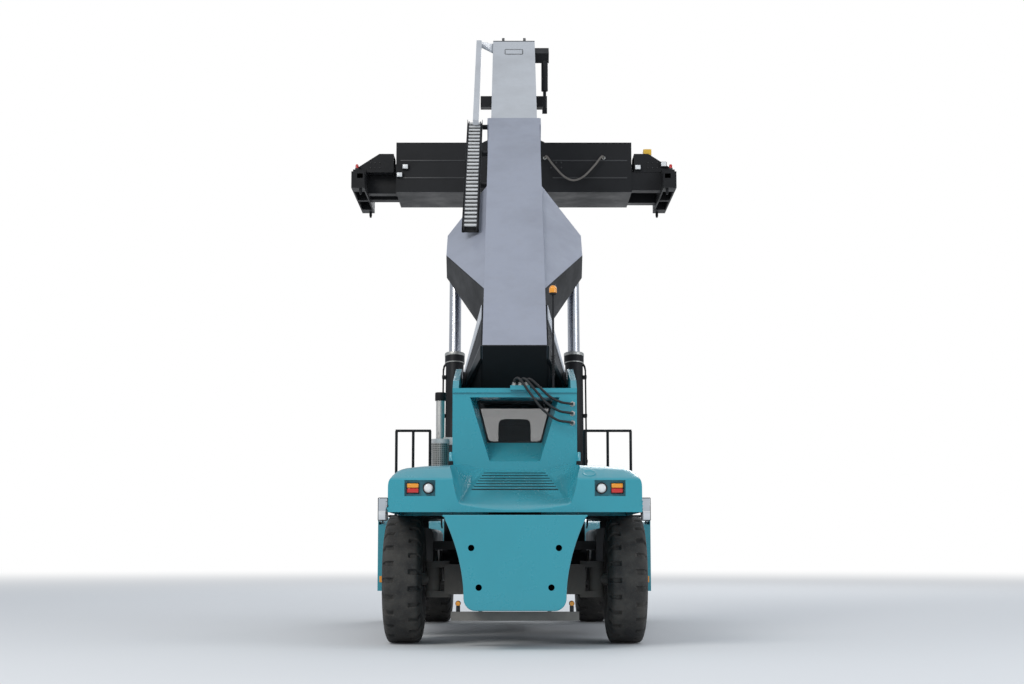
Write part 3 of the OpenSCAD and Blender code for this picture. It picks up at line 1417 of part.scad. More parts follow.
chassis_frame();
tower();
counterweight();
rear_hood();
engine_grille();
engine_block();
front_fenders();
side_tanks();
steps_and_rails();
exhaust();
drive_axle();
steer_axle();
knuckle_left();
knuckle_right();
front_tyres_left();
front_tyres_right();
front_rims_left();
front_rims_right();
rear_tyre_left();
rear_tyre_right();
rear_rim_left();
rear_rim_right();
cab_shell();
cab_glass();
cab_door_left();
cab_door_right();
operator_seat();
cab_controls();
boom_outer();
boom_root();
boom_wings();
boom_inner();
boom_head();
energy_chain();
lift_barrel_left();
lift_barrel_right();
lift_rod_left();
lift_rod_right();
spreader_yoke();
rotator_frame();
spreader_beam();
spreader_end_left();
spreader_end_right();
mirrors();
beacon();
lamps();
boom_hose_upper();
boom_hose_middle();
boom_hose_lower();
spreader_hose();
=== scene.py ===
# %% [markdown]
# # A reach stacker, dressed
# The imported solids give every size and every joint. This file adds what paint,
# rubber, glass and small parts do for the eye. We start by loading the solids.

# %% Load the solids
import math

import bmesh
import bpy
import numpy as np
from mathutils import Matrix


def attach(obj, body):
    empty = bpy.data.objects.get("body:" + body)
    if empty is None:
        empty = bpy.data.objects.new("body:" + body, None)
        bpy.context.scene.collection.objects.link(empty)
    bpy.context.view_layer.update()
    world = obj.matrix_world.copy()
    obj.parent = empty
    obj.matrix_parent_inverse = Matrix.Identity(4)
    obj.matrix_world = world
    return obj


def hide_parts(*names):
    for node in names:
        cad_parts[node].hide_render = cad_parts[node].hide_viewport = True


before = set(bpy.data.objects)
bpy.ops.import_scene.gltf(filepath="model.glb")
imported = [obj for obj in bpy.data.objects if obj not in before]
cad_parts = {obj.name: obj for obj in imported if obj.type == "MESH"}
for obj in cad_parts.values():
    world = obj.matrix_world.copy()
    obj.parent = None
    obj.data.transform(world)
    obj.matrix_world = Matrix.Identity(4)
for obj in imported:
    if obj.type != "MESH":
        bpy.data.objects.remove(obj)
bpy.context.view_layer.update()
REAR_AXLE_Y = -5.035
FRONT_AXLE_Y = REAR_AXLE_Y + 6.0
WHEEL_R = 0.81
SIDES = ((-1, "left"), (1, "right"))

# %% [markdown]
# ## The camera
# The photograph was taken from behind, close to the ground, with the lens tipped up.
# A camera 21.45 m behind the rear axle, 1.24 m up and tipped by 7 degrees draws the
# same picture, so we place one there and keep its lens free of shift.

# %% Camera
eye = bpy.data.cameras.new("eye")
eye.lens = 58.0
eye.sensor_width = 36.0
eye.clip_end = 400.0
camera = bpy.data.objects.new("camera", eye)
camera.location = (-0.036, REAR_AXLE_Y - 21.45, 1.243)
camera.rotation_euler = (math.radians(97.02), 0.0, 0.0)
bpy.context.collection.objects.link(camera)
bpy.context.scene.camera = camera
print("camera at", tuple(round(v, 3) for v in camera.location))

# %% [markdown]
# ## Surfaces from numbers
# Almost every new piece below is a surface over a grid: rows run one way, columns the
# other, and each grid point is a place in space. One helper turns such a grid into
# quads; another gathers several grids into one mesh.


# %% Grid helper
def grid_faces(rows, cols, wrap_rows=False, wrap_cols=False, start=0):
    """Quads between neighbours (i, j), (i, j+1), (i+1, j+1), (i+1, j) of a rows x cols grid."""
    i = np.arange(rows if wrap_rows else rows - 1)
    j = np.arange(cols if wrap_cols else cols - 1)
    i, j = np.meshgrid(i, j, indexing="ij")
    i2, j2 = (i + 1) % rows, (j + 1) % cols
    quads = np.stack([i * cols + j, i * cols + j2, i2 * cols + j2, i2 * cols + j], -1)
    return quads.reshape(-1, 4) + start


def mesh_object(name, points, quads, body, smooth=True, tris=(), wall=0.0):
    """One mesh from an N x 3 array of points and an M x 4 array of corners. Doubled points are
    merged and faces turned outwards; edges sharper than 38 degrees stay crisp. An open sheet
    that faces up gets a wall of the given thickness on its lower side."""
    mesh = bpy.data.meshes.new(name)
    faces = quads.tolist() + [t for part in tris for t in part.tolist()]
    mesh.from_pydata(np.asarray(points, float).tolist(), [], faces)
    work = bmesh.new()
    work.from_mesh(mesh)
    bmesh.ops.remove_doubles(work, verts=work.verts, dist=1e-5)
    bmesh.ops.dissolve_degenerate(work, edges=work.edges, dist=1e-6)
    bmesh.ops.recalc_face_normals(work, faces=work.faces)
    if wall:
        if sum(face.normal.z * face.calc_area() for face in work.faces) < 0:
            bmesh.ops.reverse_faces(work, faces=work.faces)
        bmesh.ops.solidify(work, geom=work.faces[:], thickness=wall)
        bmesh.ops.recalc_face_normals(work, faces=work.faces)
    work.to_mesh(mesh)
    work.free()
    mesh.polygons.foreach_set("use_smooth", np.full(len(mesh.polygons), smooth))
    mesh.set_sharp_from_angle(angle=math.radians(38))
    obj = bpy.data.objects.new(name, mesh)
    bpy.context.collection.objects.link(obj)
    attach(obj, body)
    return obj


class Pile:
    """Collects points and quads of several grids, so that they become one mesh."""

    def __init__(self):
        self.points, self.quads, self.tris, self.count = [], [], [], 0

    def grid(self, p, wrap_rows=False, wrap_cols=False):
        """Adds a rows x cols x 3 grid of points."""
        rows, cols = p.shape[:2]
        self.points.append(p.reshape(-1, 3))
        self.quads.append(grid_faces(rows, cols, wrap_rows, wrap_cols, self.count))
        self.count += rows * cols

    def tube(self, p):
        """Adds a grid whose columns close into a ring."""
        self.grid(p, wrap_cols=True)

    def ring(self, p):
        """Adds a grid that closes both ways."""
        self.grid(p, wrap_rows=True, wrap_cols=True)

    def box(self, low, high, radius=0.004):
        """Adds a box with round edges, from soft_box below."""
        self.tube(soft_box(low, high, radius))

    def turn(self, profile, steps, axis="x", centre=(0.0, 0.0, 0.0)):
        """Adds a turned profile."""
        self.tube(turned(profile, steps, axis, centre))

    def bar(self, points, radius, sides=14):
        """Adds a closed round bar or pipe through the points."""
        self.tube(closed(tube_grid(points, radius, sides)))

    def repeat(self, grid, places):
        """Adds the same small grid, closed like a tube, at each of the places."""
        self.copies(grid.reshape(-1, 3), grid_faces(*grid.shape[:2], wrap_cols=True), places)

    def moved(self, rule):
        """Sends every point collected so far through a rule."""
        self.points = [rule(p) for p in self.points]

    def copies(self, points, quads, places):
        """Adds the same small shape at each of the K x 3 places."""
        places = np.asarray(places, float).reshape(-1, 3)
        n = len(points)
        all_points = (points[None] + places[:, None]).reshape(-1, 3)
        all_quads = (quads[None] + (np.arange(len(places)) * n)[:, None, None]).reshape(-1, 4)
        self.points.append(all_points)
        self.quads.append(all_quads + self.count)
        self.count += len(all_points)

    def flat(self, loops):
        """Adds the flat area inside the first loop of points and outside the others."""
        work = bmesh.new()
        for loop in loops:
            verts = [work.verts.new(p) for p in loop]
            for a, b in zip(verts, verts[1:] + verts[:1]):
                work.edges.new((a, b))
        bmesh.ops.triangle_fill(work, use_beauty=True, edges=work.edges[:])
        work.verts.index_update()
        self.points.append(np.array([v.co[:] for v in work.verts]))
        self.tris.append(np.array([[v.index for v in f.verts] for f in work.faces]) + self.count)
        self.count += len(work.verts)
        work.free()

    def make(self, name, body, smooth=True, wall=0.0):
        """Turns what was collected into one object that rides on a body."""
        return mesh_object(name, np.concatenate(self.points), np.concatenate(self.quads), body,
                           smooth, self.tris, wall)


def turned(profile, steps, axis="x", centre=(0.0, 0.0, 0.0)):
    """A profile of (along, radius) pairs turned about an axis through centre:
    along the axis stays, and the other two are radius x cos a and radius x sin a."""
    along, radius = np.asarray(profile, float).T
    a = np.linspace(0.0, 2 * np.pi, steps, endpoint=False)
    c, s = radius[:, None] * np.cos(a), radius[:, None] * np.sin(a)
    flat = np.broadcast_to(along[:, None], c.shape)
    order = {"x": (flat, c, s), "y": (s, flat, c), "z": (c, s, flat)}[axis]
    return np.stack(order, -1) + np.asarray(centre, float)


print("grid helpers ready")

# %% [markdown]
# ## Hoses first
# A hose is a fixed length of rubber that hangs in a smooth curve. Its route is the same
# list of points as in the solids: a curve that passes through each point, with its
# direction at a point taken from the two neighbours.


# %% Hoses
def smooth_route(points, steps=10):
    """Catmull-Rom curve, with its first and last stretch straight: between b and c it is
    half of (2b + (c - a)t + (2a - 5b + 4c - d)t^2 + (3b - a - 3c + d)t^3)."""
    p = np.asarray(points, float)
    a, b, c, d = p[:-3, None], p[1:-2, None], p[2:-1, None], p[3:, None]
    t = np.linspace(0, 1, steps, endpoint=False)[None, :, None]
    s = 0.5 * (2 * b + (c - a) * t + (2 * a - 5 * b + 4 * c - d) * t**2
               + (3 * b - a - 3 * c + d) * t**3)
    return np.concatenate([p[:1], s.reshape(-1, 3), p[-2:]])


def tube_grid(route, radius, sides=12):
    """A ring of radius r round each route point: r(cos a) u + r(sin a) v, with u and v square to
    the route's direction. The rings are carried along without twist."""
    route = np.asarray(route, float)
    ahead = np.gradient(route, axis=0)
    ahead /= np.linalg.norm(ahead, axis=1, keepdims=True)
    u = np.empty_like(route)
    first = np.cross(ahead[0], [0, 0, 1.0] if abs(ahead[0][2]) < 0.9 else [1.0, 0, 0])
    u[0] = first / np.linalg.norm(first)
    for k in range(1, len(route)):
        w = u[k - 1] - ahead[k] * np.dot(u[k - 1], ahead[k])
        u[k] = w / np.linalg.norm(w)
    v = np.cross(ahead, u)
    a = np.linspace(0, 2 * np.pi, sides, endpoint=False)[None, :, None]
    r = np.broadcast_to(np.asarray(radius, float), len(route))[:, None, None]
    return route[:, None] + r * (np.cos(a) * u[:, None] + np.sin(a) * v[:, None])


def closed(grid):
    """Draws each open end of a tube in to the middle of its last ring."""
    first, last = (np.broadcast_to(row.mean(1, keepdims=True), row.shape)
                   for row in (grid[:1], grid[-1:]))
    return np.concatenate([first, grid, last])


def hose(name, points_mm, diameter, body, shift_y):
    """A hose mesh on its route, in the place of the solid hose."""
    points = np.asarray(points_mm, float) / 1000 + [0, shift_y, 0]
    route = smooth_route(points)
    pile = Pile()
    pile.tube(closed(tube_grid(route, diameter / 2)))
    obj = pile.make(name + "_rubber", body)
    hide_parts(name)
    return obj, route


TOWER_FACE = 249.7
HOSES = {
    "boom_hose_upper": [
        [150, 180, 3330], [150, 180, 3360], [170, 170, 3410], [220, 150, 3400], [330, 140, 3300],
        [460, 140, 3180], [600, 150, 3110], [700, 160, 3092], [760, 200, 3090],
        [760, TOWER_FACE, 3090]],
    "boom_hose_middle": [
        [70, 180, 3330], [70, 180, 3360], [90, 160, 3410], [150, 120, 3400], [270, 110, 3260],
        [420, 100, 3090], [580, 110, 2990], [700, 140, 2968], [760, 195, 2965],
        [760, TOWER_FACE, 2965]],
    "boom_hose_lower": [
        [-10, 180, 3330], [-10, 180, 3360], [10, 150, 3415], [70, 90, 3400], [200, 80, 3220],
        [370, 70, 3000], [550, 80, 2870], [690, 120, 2845], [760, 190, 2840],
        [760, TOWER_FACE, 2840]],
}
SPREADER_HOSE = [[600, -736.6, 8690], [600, -790, 8690], [640, -850, 8690], [760, -880, 8520],
                 [960, -890, 8300], [1150, -890, 8220], [1350, -890, 8300], [1560, -880, 8520],
                 [1690, -850, 8690], [1740, -790, 8690], [1740, -736.6, 8690]]
HEAD_Y = REAR_AXLE_Y + 10.6
hoses = {}
for hose_name, route_points in HOSES.items():
    hoses[hose_name] = hose(hose_name, route_points, 0.034, "root", REAR_AXLE_Y)
hoses["spreader_hose"] = hose("spreader_hose", SPREADER_HOSE, 0.040, "spreader", HEAD_Y)

# %% [markdown]
# ## Light and ground
# The truck stands on plain pale ground under an even sky. The sky lights everything
# softly, and one large lamp behind the camera's left shoulder gives the boom a
# brighter and a darker side. Two weaker lamps, on the right and in front, open the
# shadows. Seen directly, sky and far ground are white.


# %% Sky, lamps and ground
def node_tree(owner):
    """The owner's node tree, emptied."""
    owner.use_nodes = True
    tree = owner.node_tree
    tree.nodes.clear()
    return tree


def add(tree, kind, **values):
    """A node of that kind, with its named properties set."""
    node = tree.nodes.new(kind)
    for key, value in values.items():
        setattr(node, key, value)
    return node


def put(node, **values):
    """Sets input sockets by name, with _ in place of a space."""
    for key, value in values.items():
        node.inputs[key.replace("_", " ")].default_value = value
    return node


def join(output, socket):
    """Links an output to a socket of the same tree."""
    output.id_data.links.new(output, socket)


def mix_shaders(tree, amount, first, second, end):
    """Mixes two shaders by an amount and sends the result to a new end node."""
    blend = add(tree, "ShaderNodeMixShader")
    for source, socket in zip((amount, first, second), blend.inputs):
        join(source.outputs[0], socket)
    join(blend.outputs[0], add(tree, end).inputs[0])


world = bpy.data.worlds.new("sky")
bpy.context.scene.world = world
tree = node_tree(world)
path = add(tree, "ShaderNodeLightPath")
seen = add(tree, "ShaderNodeMath", operation="MAXIMUM")
join(path.outputs["Is Camera Ray"], seen.inputs[0])
join(path.outputs["Is Transmission Ray"], seen.inputs[1])
soft = put(add(tree, "ShaderNodeBackground"), Color=(0.86, 0.92, 1.0, 1), Strength=0.62)
white = put(add(tree, "ShaderNodeBackground"), Color=(1, 1, 1, 1), Strength=1.0)
mix_shaders(tree, seen, soft, white, "ShaderNodeOutputWorld")


def area_lamp(name, place, aim, size, watts, colour=(1, 1, 1)):
    """A square lamp at place, turned so that its face looks at aim."""
    data = bpy.data.lights.new(name, "AREA")
    data.size = size
    data.energy = watts
    data.color = colour
    lamp = bpy.data.objects.new(name, data)
    lamp.location = place
    away = np.asarray(aim, float) - np.asarray(place, float)
    lamp.rotation_euler = (math.atan2(math.hypot(away[0], away[1]), -away[2]), 0,
                           math.atan2(away[1], away[0]) - math.pi / 2)
    bpy.context.collection.objects.link(lamp)
    return lamp


area_lamp("key_lamp", (-15, -24, 20), (0, -1, 3), 12, 3800, (1, 0.98, 0.95))
area_lamp("fill_lamp", (18, -16, 10), (0, -1, 4), 12, 1300, (0.93, 0.96, 1))
area_lamp("front_lamp", (6, 24, 18), (0, 2, 4), 12, 1800)

floor_points = np.array([[-160, -60, 0], [160, -60, 0], [160, 320, 0], [-160, 320, 0]], float)
floor_mesh = bpy.data.meshes.new("ground")
floor_mesh.from_pydata(floor_points.tolist(), [], [[0, 1, 2, 3]])
ground = bpy.data.objects.new("ground", floor_mesh)
bpy.context.collection.objects.link(ground)
stone = bpy.data.materials.new("pale_ground")
tree = node_tree(stone)
place = add(tree, "ShaderNodeTexCoord")
away = add(tree, "ShaderNodeVectorMath", operation="LENGTH")
fade = add(tree, "ShaderNodeMapRange", interpolation_type="SMOOTHSTEP")
put(fade, From_Min=14.0, From_Max=60.0)
matte = put(add(tree, "ShaderNodeBsdfDiffuse"), Color=(0.72, 0.73, 0.74, 1))
glow = put(add(tree, "ShaderNodeEmission"), Color=(1, 1, 1, 1))
join(place.outputs["Object"], away.inputs[0])
join(away.outputs["Value"], fade.inputs["Value"])
mix_shaders(tree, fade, matte, glow, "ShaderNodeOutputMaterial")
floor_mesh.materials.append(stone)
bpy.context.scene.view_settings.view_transform = "Standard"
print("light and ground set")

# %% [markdown]
# ## Paints
# Machine paint is a thin gloss coat over steel. Up close it has a faint orange-peel
# ripple, it is duller where dust lies on faces that look up, and it is darker where
# oil and dirt collect. We build one recipe from noise in the object's own space and
# use it with different numbers.


# %% Paint recipe
def noise(tree, coords, scale, detail=4.0, roughness=0.55):
    """Cloudy noise in the object's own space."""
    node = put(add(tree, "ShaderNodeTexNoise"), Scale=scale, Detail=detail, Roughness=roughness)
    join(coords, node.inputs["Vector"])
    return node.outputs["Fac"]


def remap(tree, value, low, high, to_low, to_high):
    """Straight-line change of range, clamped at both ends."""
    node = add(tree, "ShaderNodeMapRange")
    put(node, From_Min=low, From_Max=high, To_Min=to_low, To_Max=to_high)
    join(value, node.inputs["Value"])
    return node.outputs[0]


def mix_colour(tree, amount, first, second):
    """Colour between first and second; each may be a socket or three numbers."""
    node = add(tree, "ShaderNodeMix", data_type="RGBA")
    for socket, value in zip((node.inputs[k] for k in (0, 6, 7)), (amount, first, second)):
        if isinstance(value, bpy.types.NodeSocket):
            join(value, socket)
        elif isinstance(value, (int, float)):
            socket.default_value = value
        else:
            socket.default_value = (*value, 1)
    return node.outputs[2]


def principled(name, metallic=0.0, roughness=0.5, coat=0.0, coat_roughness=0.1, specular=0.5):
    """A new material with one shader, and the object's own coordinates."""
    material = bpy.data.materials.new(name)
    tree = node_tree(material)
    shader = put(add(tree, "ShaderNodeBsdfPrincipled"), Metallic=metallic, Roughness=roughness,
                 Coat_Weight=coat, Coat_Roughness=coat_roughness, Specular_IOR_Level=specular)
    join(shader.outputs[0], add(tree, "ShaderNodeOutputMaterial").inputs[0])
    coords = add(tree, "ShaderNodeTexCoord").outputs["Object"]
    return material, tree, shader, coords


def bump(tree, shader, height, strength, distance):
    """Tilts the surface's light by a height map."""
    node = put(add(tree, "ShaderNodeBump"), Strength=strength, Distance=distance)
    join(height, node.inputs["Height"])
    join(node.outputs[0], shader.inputs["Normal"])


def facing_up(tree):
    """How far the surface looks up, from 0 to 1."""
    geometry = add(tree, "ShaderNodeNewGeometry")
    split = add(tree, "ShaderNodeSeparateXYZ")
    join(geometry.outputs["Normal"], split.inputs[0])
    return remap(tree, split.outputs["Z"], 0.25, 0.95, 0.0, 1.0)


def times(tree, a, b):
    """Product of two values, each a socket or a number."""
    node = add(tree, "ShaderNodeMath", operation="MULTIPLY")
    for socket, value in zip(node.inputs, (a, b)):
        if isinstance(value, bpy.types.NodeSocket):
            join(value, socket)
        else:
            socket.default_value = value
    return node.outputs[0]


DUST = (0.42, 0.39, 0.35)


def paint(name, colour, grime, roughness=0.38, coat=0.3, dust=0.35, patch=0.5, low=0.0,
          ripple=0.06, specular=0.5):
    """Paint: colour, mottled towards grime by noise, dusted where it looks up,
    darker again below a height low, with a faint ripple."""
    material, tree, shader, coords = principled(
        name, coat=coat, coat_roughness=0.2, specular=specular)
    cloud = noise(tree, coords, 1.1, 6.0, 0.62)
    streak = noise(tree, coords, 9.0, 3.0)
    mottled = mix_colour(tree, remap(tree, cloud, 0.45, 0.75, 0.0, patch), colour, grime)
    fine = mix_colour(tree, remap(tree, streak, 0.55, 0.8, 0.0, 0.35 * patch), mottled, grime)
    settled = times(tree, facing_up(tree), remap(tree, streak, 0.3, 0.7, 0.5 * dust, dust))
    dusted = mix_colour(tree, settled, fine, DUST)
    if low > 0:
        split = add(tree, "ShaderNodeSeparateXYZ")
        join(coords, split.inputs[0])
        height = remap(tree, split.outputs["Z"], 0.2, low, 0.55, 0.0)
        dusted = mix_colour(tree, times(tree, height, remap(tree, cloud, 0.3, 0.6, 0.3, 1.0)),
                            dusted, DUST)
    join(dusted, shader.inputs["Base Color"])
    join(remap(tree, cloud, 0.3, 0.75, roughness - 0.08, roughness + 0.22),
         shader.inputs["Roughness"])
    bump(tree, shader, noise(tree, coords, 38.0, 2.0), ripple, 0.004)
    return material


MATERIALS = {
    "teal": paint("teal_enamel", (0.020, 0.29, 0.365), (0.012, 0.20, 0.25), roughness=0.24,
                  coat=0.6, dust=0.10, patch=0.2, low=0.5, ripple=0.015),
    "frame": paint("frame_paint", (0.022, 0.023, 0.025), (0.012, 0.011, 0.010), roughness=0.46,
                   coat=0.1, dust=0.2, patch=0.5, low=1.0),
    "black": paint("black_paint", (0.012, 0.0125, 0.014), (0.006, 0.006, 0.006), roughness=0.45,
                   coat=0.0, dust=0.03, patch=0.5, specular=0.2),
    "lilac": paint("boom_paint", (0.30, 0.325, 0.40), (0.17, 0.18, 0.21), roughness=0.36,
                   coat=0.3, dust=0.12, patch=0.3),
    "pale": paint("inner_boom_paint", (0.52, 0.545, 0.58), (0.30, 0.30, 0.31), roughness=0.33,
                  coat=0.3, dust=0.1, patch=0.3),
    "rim": paint("wheel_paint", (0.30, 0.31, 0.32), (0.12, 0.11, 0.10), roughness=0.45,
                 coat=0.1, dust=0.35, patch=0.7, low=1.4),
    "casting": paint("casting_paint", (0.03, 0.03, 0.031), (0.05, 0.042, 0.035), roughness=0.62,
                     coat=0.0, dust=0.5, patch=0.9, low=1.3, ripple=0.3),
}


def metal(name, colour, roughness, spread, scale, ripple=0.03):
    """Bare metal: colour all over, roughness drawn out by noise."""
    material, tree, shader, coords = principled(name, metallic=1.0, roughness=roughness)
    grain = noise(tree, coords, scale, 3.0)
    join(mix_colour(tree, remap(tree, grain, 0.35, 0.7, 0.0, 0.35), colour,
                    tuple(0.55 * c for c in colour)), shader.inputs["Base Color"])
    join(remap(tree, grain, 0.3, 0.7, roughness, roughness + spread), shader.inputs["Roughness"])
    bump(tree, shader, grain, ripple, 0.002)
    return material


def moulded(name, colour, roughness=0.55, grain_scale=220.0, strength=0.08, specular=0.4):
    """Moulded plastic or rubber with a fine grain."""
    material, tree, shader, coords = principled(name, roughness=roughness, specular=specular)
    cloud = noise(tree, coords, 3.0, 4.0)
    join(mix_colour(tree, remap(tree, cloud, 0.4, 0.75, 0.0, 0.5), colour,
                    tuple(0.5 * c + 0.012 for c in colour)), shader.inputs["Base Color"])
    bump(tree, shader, noise(tree, coords, grain_scale, 2.0), strength, 0.001)
    return material


def tyre_rubber():
    """Tyre rubber: near black, greyed by road dust in patches."""
    material, tree, shader, coords = principled("tyre_rubber", roughness=0.8, specular=0.3)
    cloud = noise(tree, coords, 5.0, 5.0)
    fine = noise(tree, coords, 60.0, 3.0)
    grey = mix_colour(tree, remap(tree, cloud, 0.35, 0.7, 0.1, 0.75), (0.022, 0.022, 0.023),
                      (0.085, 0.08, 0.072))
    join(mix_colour(tree, remap(tree, fine, 0.55, 0.75, 0.0, 0.4), grey, (0.11, 0.10, 0.09)),
         shader.inputs["Base Color"])
    bump(tree, shader, fine, 0.25, 0.003)
    return material


def clear(name, colour, roughness, alpha):
    """A thin pane: a tinted gloss coat that lets most light straight through."""
    material, tree, shader, coords = principled(name, roughness=roughness, specular=0.5)
    put(shader, Alpha=alpha)
    smear = noise(tree, coords, 2.5, 4.0)
    join(mix_colour(tree, remap(tree, smear, 0.45, 0.8, 0.0, 0.4), colour, (0.35, 0.36, 0.36)),
         shader.inputs["Base Color"])
    material.surface_render_method = "BLENDED"
    return material


def lens(name, colour, scale=30.0):
    """A moulded lamp lens with fine ribs of its own colour."""
    material, tree, shader, coords = principled(name, roughness=0.16, coat=0.6)
    wave = put(add(tree, "ShaderNodeTexWave", bands_direction="X"), Scale=scale)
    join(coords, wave.inputs["Vector"])
    join(mix_colour(tree, times(tree, wave.outputs["Fac"], 0.45), colour,
                    tuple(0.45 * c for c in colour)), shader.inputs["Base Color"])
    bump(tree, shader, wave.outputs["Fac"], 0.3, 0.002)
    return material


def cloth(name, colour):
    """Woven seat cover: two crossed sets of fine waves."""
    material, tree, shader, coords = principled(name, roughness=0.9, specular=0.2)
    put(shader, Sheen_Weight=0.3)
    warp = add(tree, "ShaderNodeTexWave", bands_direction="X")
    weft = add(tree, "ShaderNodeTexWave", bands_direction="Z")
    for wave in (warp, weft):
        join(coords, put(wave, Scale=60.0).inputs["Vector"])
    weave = times(tree, warp.outputs["Fac"], weft.outputs["Fac"])
    join(mix_colour(tree, weave, colour, tuple(2.2 * c for c in colour)),
         shader.inputs["Base Color"])
    bump(tree, shader, weave, 0.3, 0.002)
    return material


MATERIALS.update({
    "bright": metal("bright_steel", (0.62, 0.61, 0.58), 0.28, 0.25, 14.0),
    "zinc": metal("zinc_plate", (0.48, 0.48, 0.46), 0.38, 0.25, 40.0),
    "chrome": metal("hard_chrome", (0.56, 0.57, 0.60), 0.20, 0.14, 6.0, 0.01),
    "mirror": metal("mirror_glass", (0.82, 0.85, 0.87), 0.03, 0.04, 3.0, 0.0),
    "plastic": moulded("moulded_black", (0.022, 0.022, 0.024)),
    "white_plastic": moulded("moulded_white", (0.62, 0.63, 0.63), 0.45),
    "hose": moulded("hose_rubber", (0.016, 0.016, 0.017), 0.48, 400.0, 0.05),
    "seal": moulded("seal_rubber", (0.012, 0.012, 0.013), 0.65, 300.0, 0.08),
    "tyre": tyre_rubber(),
    "glass": clear("cab_pane", (0.05, 0.075, 0.08), 0.06, 0.32),
    "amber": lens("amber_lens", (0.95, 0.36, 0.02)),
    "red": lens("red_lens", (0.62, 0.02, 0.015)),
    "clear": lens("clear_lens", (0.86, 0.88, 0.88)),
    "cloth": cloth("seat_cloth", (0.018, 0.019, 0.022)),
    "pale_hose": moulded("pale_hose", (0.16, 0.145, 0.13)),
    "yellow": paint("yellow_box", (0.72, 0.44, 0.03), (0.30, 0.18, 0.02), 0.4),
})
print(len(MATERIALS), "finishes")

# %% [markdown]
# ## Finishes on the solids
# Each solid keeps its shape and takes one of the finishes above.

# %% Assign finishes
FINISH = {
    "teal": "tower counterweight rear_hood front_fenders",
    "frame": "chassis_frame engine_grille side_tanks",
    "casting": "engine_block drive_axle steer_axle knuckle_left knuckle_right",
    "rim": "front_rims_left front_rims_right rear_rim_left rear_rim_right",
    # boom_root is black partly for its dark paint and partly as painted shade on its down- and
    # rear-facing plates.
    "black": "steps_and_rails cab_shell cab_door_left cab_door_right boom_root boom_head "
             "lift_barrel_left lift_barrel_right spreader_yoke rotator_frame spreader_beam "
             "spreader_end_left spreader_end_right",
    "lilac": "boom_outer boom_wings",
    "pale": "boom_inner",
    "chrome": "lift_rod_left lift_rod_right",
    "bright": "exhaust",
    "plastic": "cab_controls energy_chain mirrors",
    "glass": "cab_glass",
    "amber": "beacon",
    "clear": "lamps",
    "cloth": "operator_seat",
}


def dress(obj, key):
    """Puts one finish on every slot of an object."""
    if not obj.material_slots:
        obj.data.materials.append(MATERIALS[key])
    for material_slot in obj.material_slots:
        material_slot.material = MATERIALS[key]


for key, node_names in FINISH.items():
    for node_name in node_names.split():
        dress(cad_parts[node_name], key)
for obj, route in hoses.values():
    dress(obj, "hose")
print("solids dressed in", len(FINISH), "finishes")

# %% [markdown]
# ## Tyres
# A port tyre has a smooth centre and deep slots that open at each shoulder. The slots
# of the two sides are half a pitch apart. We start from the section of the solid tyre,
# carry it round the axle, and push the surface in wherever a point lies in a slot.


# %% Tyre surface
PITCHES, SLOT_HALF, SLOT_DEPTH, SLOT_INNER = 24, 0.036, 0.034, 0.085


def tyre_section(n=58):
    """Half widths and radii along the section from one bead to the other, evenly spaced."""
    half = np.array([[0.21, 0.32], [0.235, 0.38], [0.247, 0.46], [0.25, 0.565], [0.246, 0.64],
                     [0.236, 0.70], [0.222, 0.745], [0.205, 0.782], [0.18, 0.802], [0.12, 0.808],
                     [0.06, 0.81], [0.0, 0.81]])
    full = np.concatenate([half, (half * [-1, 1])[::-1][1:]])
    step = np.concatenate([[0], np.cumsum(np.linalg.norm(np.diff(full, axis=0), axis=1))])
    t = np.linspace(0, step[-1], n)
    return np.stack([np.interp(t, step, full[:, 0]), np.interp(t, step, full[:, 1])], -1)


def tyre_grid(x, y, turns=PITCHES * 18):
    """Point at angle a and section place (w, r): (x + w, y + (r - d) cos a, R + (r - d) sin a).
    The depth d is that of the nearest slot: full inside a capsule that runs from SLOT_INNER
    out past the shoulder, and falling to nothing over its rounded edge."""
    w, r = tyre_section().T
    a = np.linspace(0, 2 * np.pi, turns, endpoint=False)
    side = np.where(w >= 0, 0.0, 0.5)
    pitch = 2 * np.pi / PITCHES
    phase = (a[None] / pitch + side[:, None]) % 1.0 - 0.5
    along = phase * pitch * WHEEL_R
    inward = np.maximum(SLOT_INNER + SLOT_HALF - np.abs(w), 0.0)[:, None]
    gap = np.hypot(along, inward)
    inside = np.clip((SLOT_HALF - gap) / 0.010, 0, 1)
    inside = inside * inside * (3 - 2 * inside)
    shoulder = np.clip((r - 0.66) / 0.06, 0, 1)[:, None]
    ribs = 0.004 * np.exp(-((r - 0.60) / 0.006) ** 2) + 0.004 * np.exp(-((r - 0.43) / 0.006) ** 2)
    depth = SLOT_DEPTH * inside * shoulder
    radius = r[:, None] - depth
    drawn_in = np.sign(w)[:, None] * depth * 0.35 * (np.abs(w) > 0.2)[:, None]
    wide = (w + np.sign(w) * ribs)[:, None] - drawn_in
    return np.stack([np.broadcast_to(x + wide, radius.shape), y + radius * np.cos(a),
                     WHEEL_R + radius * np.sin(a)], -1)


def tyre(name, xs, y, body, cad_node):
    """One or two tyres as one piece in the place of the solid tyre."""
    pile = Pile()
    for x in xs:
        grid = tyre_grid(x, y)
        bead = turned([(0.21 * s, 0.318) for s in (-1, 1)], grid.shape[1], "x", (x, y, WHEEL_R))
        pile.tube(grid)
        pile.tube(bead)
    obj = pile.make(name, body)
    dress(obj, "tyre")
    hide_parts(cad_node)
    return obj


REAR_X, FRONT_X, TWIN = 1.415, 1.55, 0.285
for side, word in SIDES:
    tyre(f"rear_tread_{word}", [side * REAR_X], REAR_AXLE_Y, f"rear_wheel_{word}",
         f"rear_tyre_{word}")
    tyre(f"front_treads_{word}", [side * (FRONT_X - TWIN), side * (FRONT_X + TWIN)], FRONT_AXLE_Y,
         f"front_wheel_{word}", f"front_tyres_{word}")
print("six tyres with", 2 * PITCHES, "slots each")

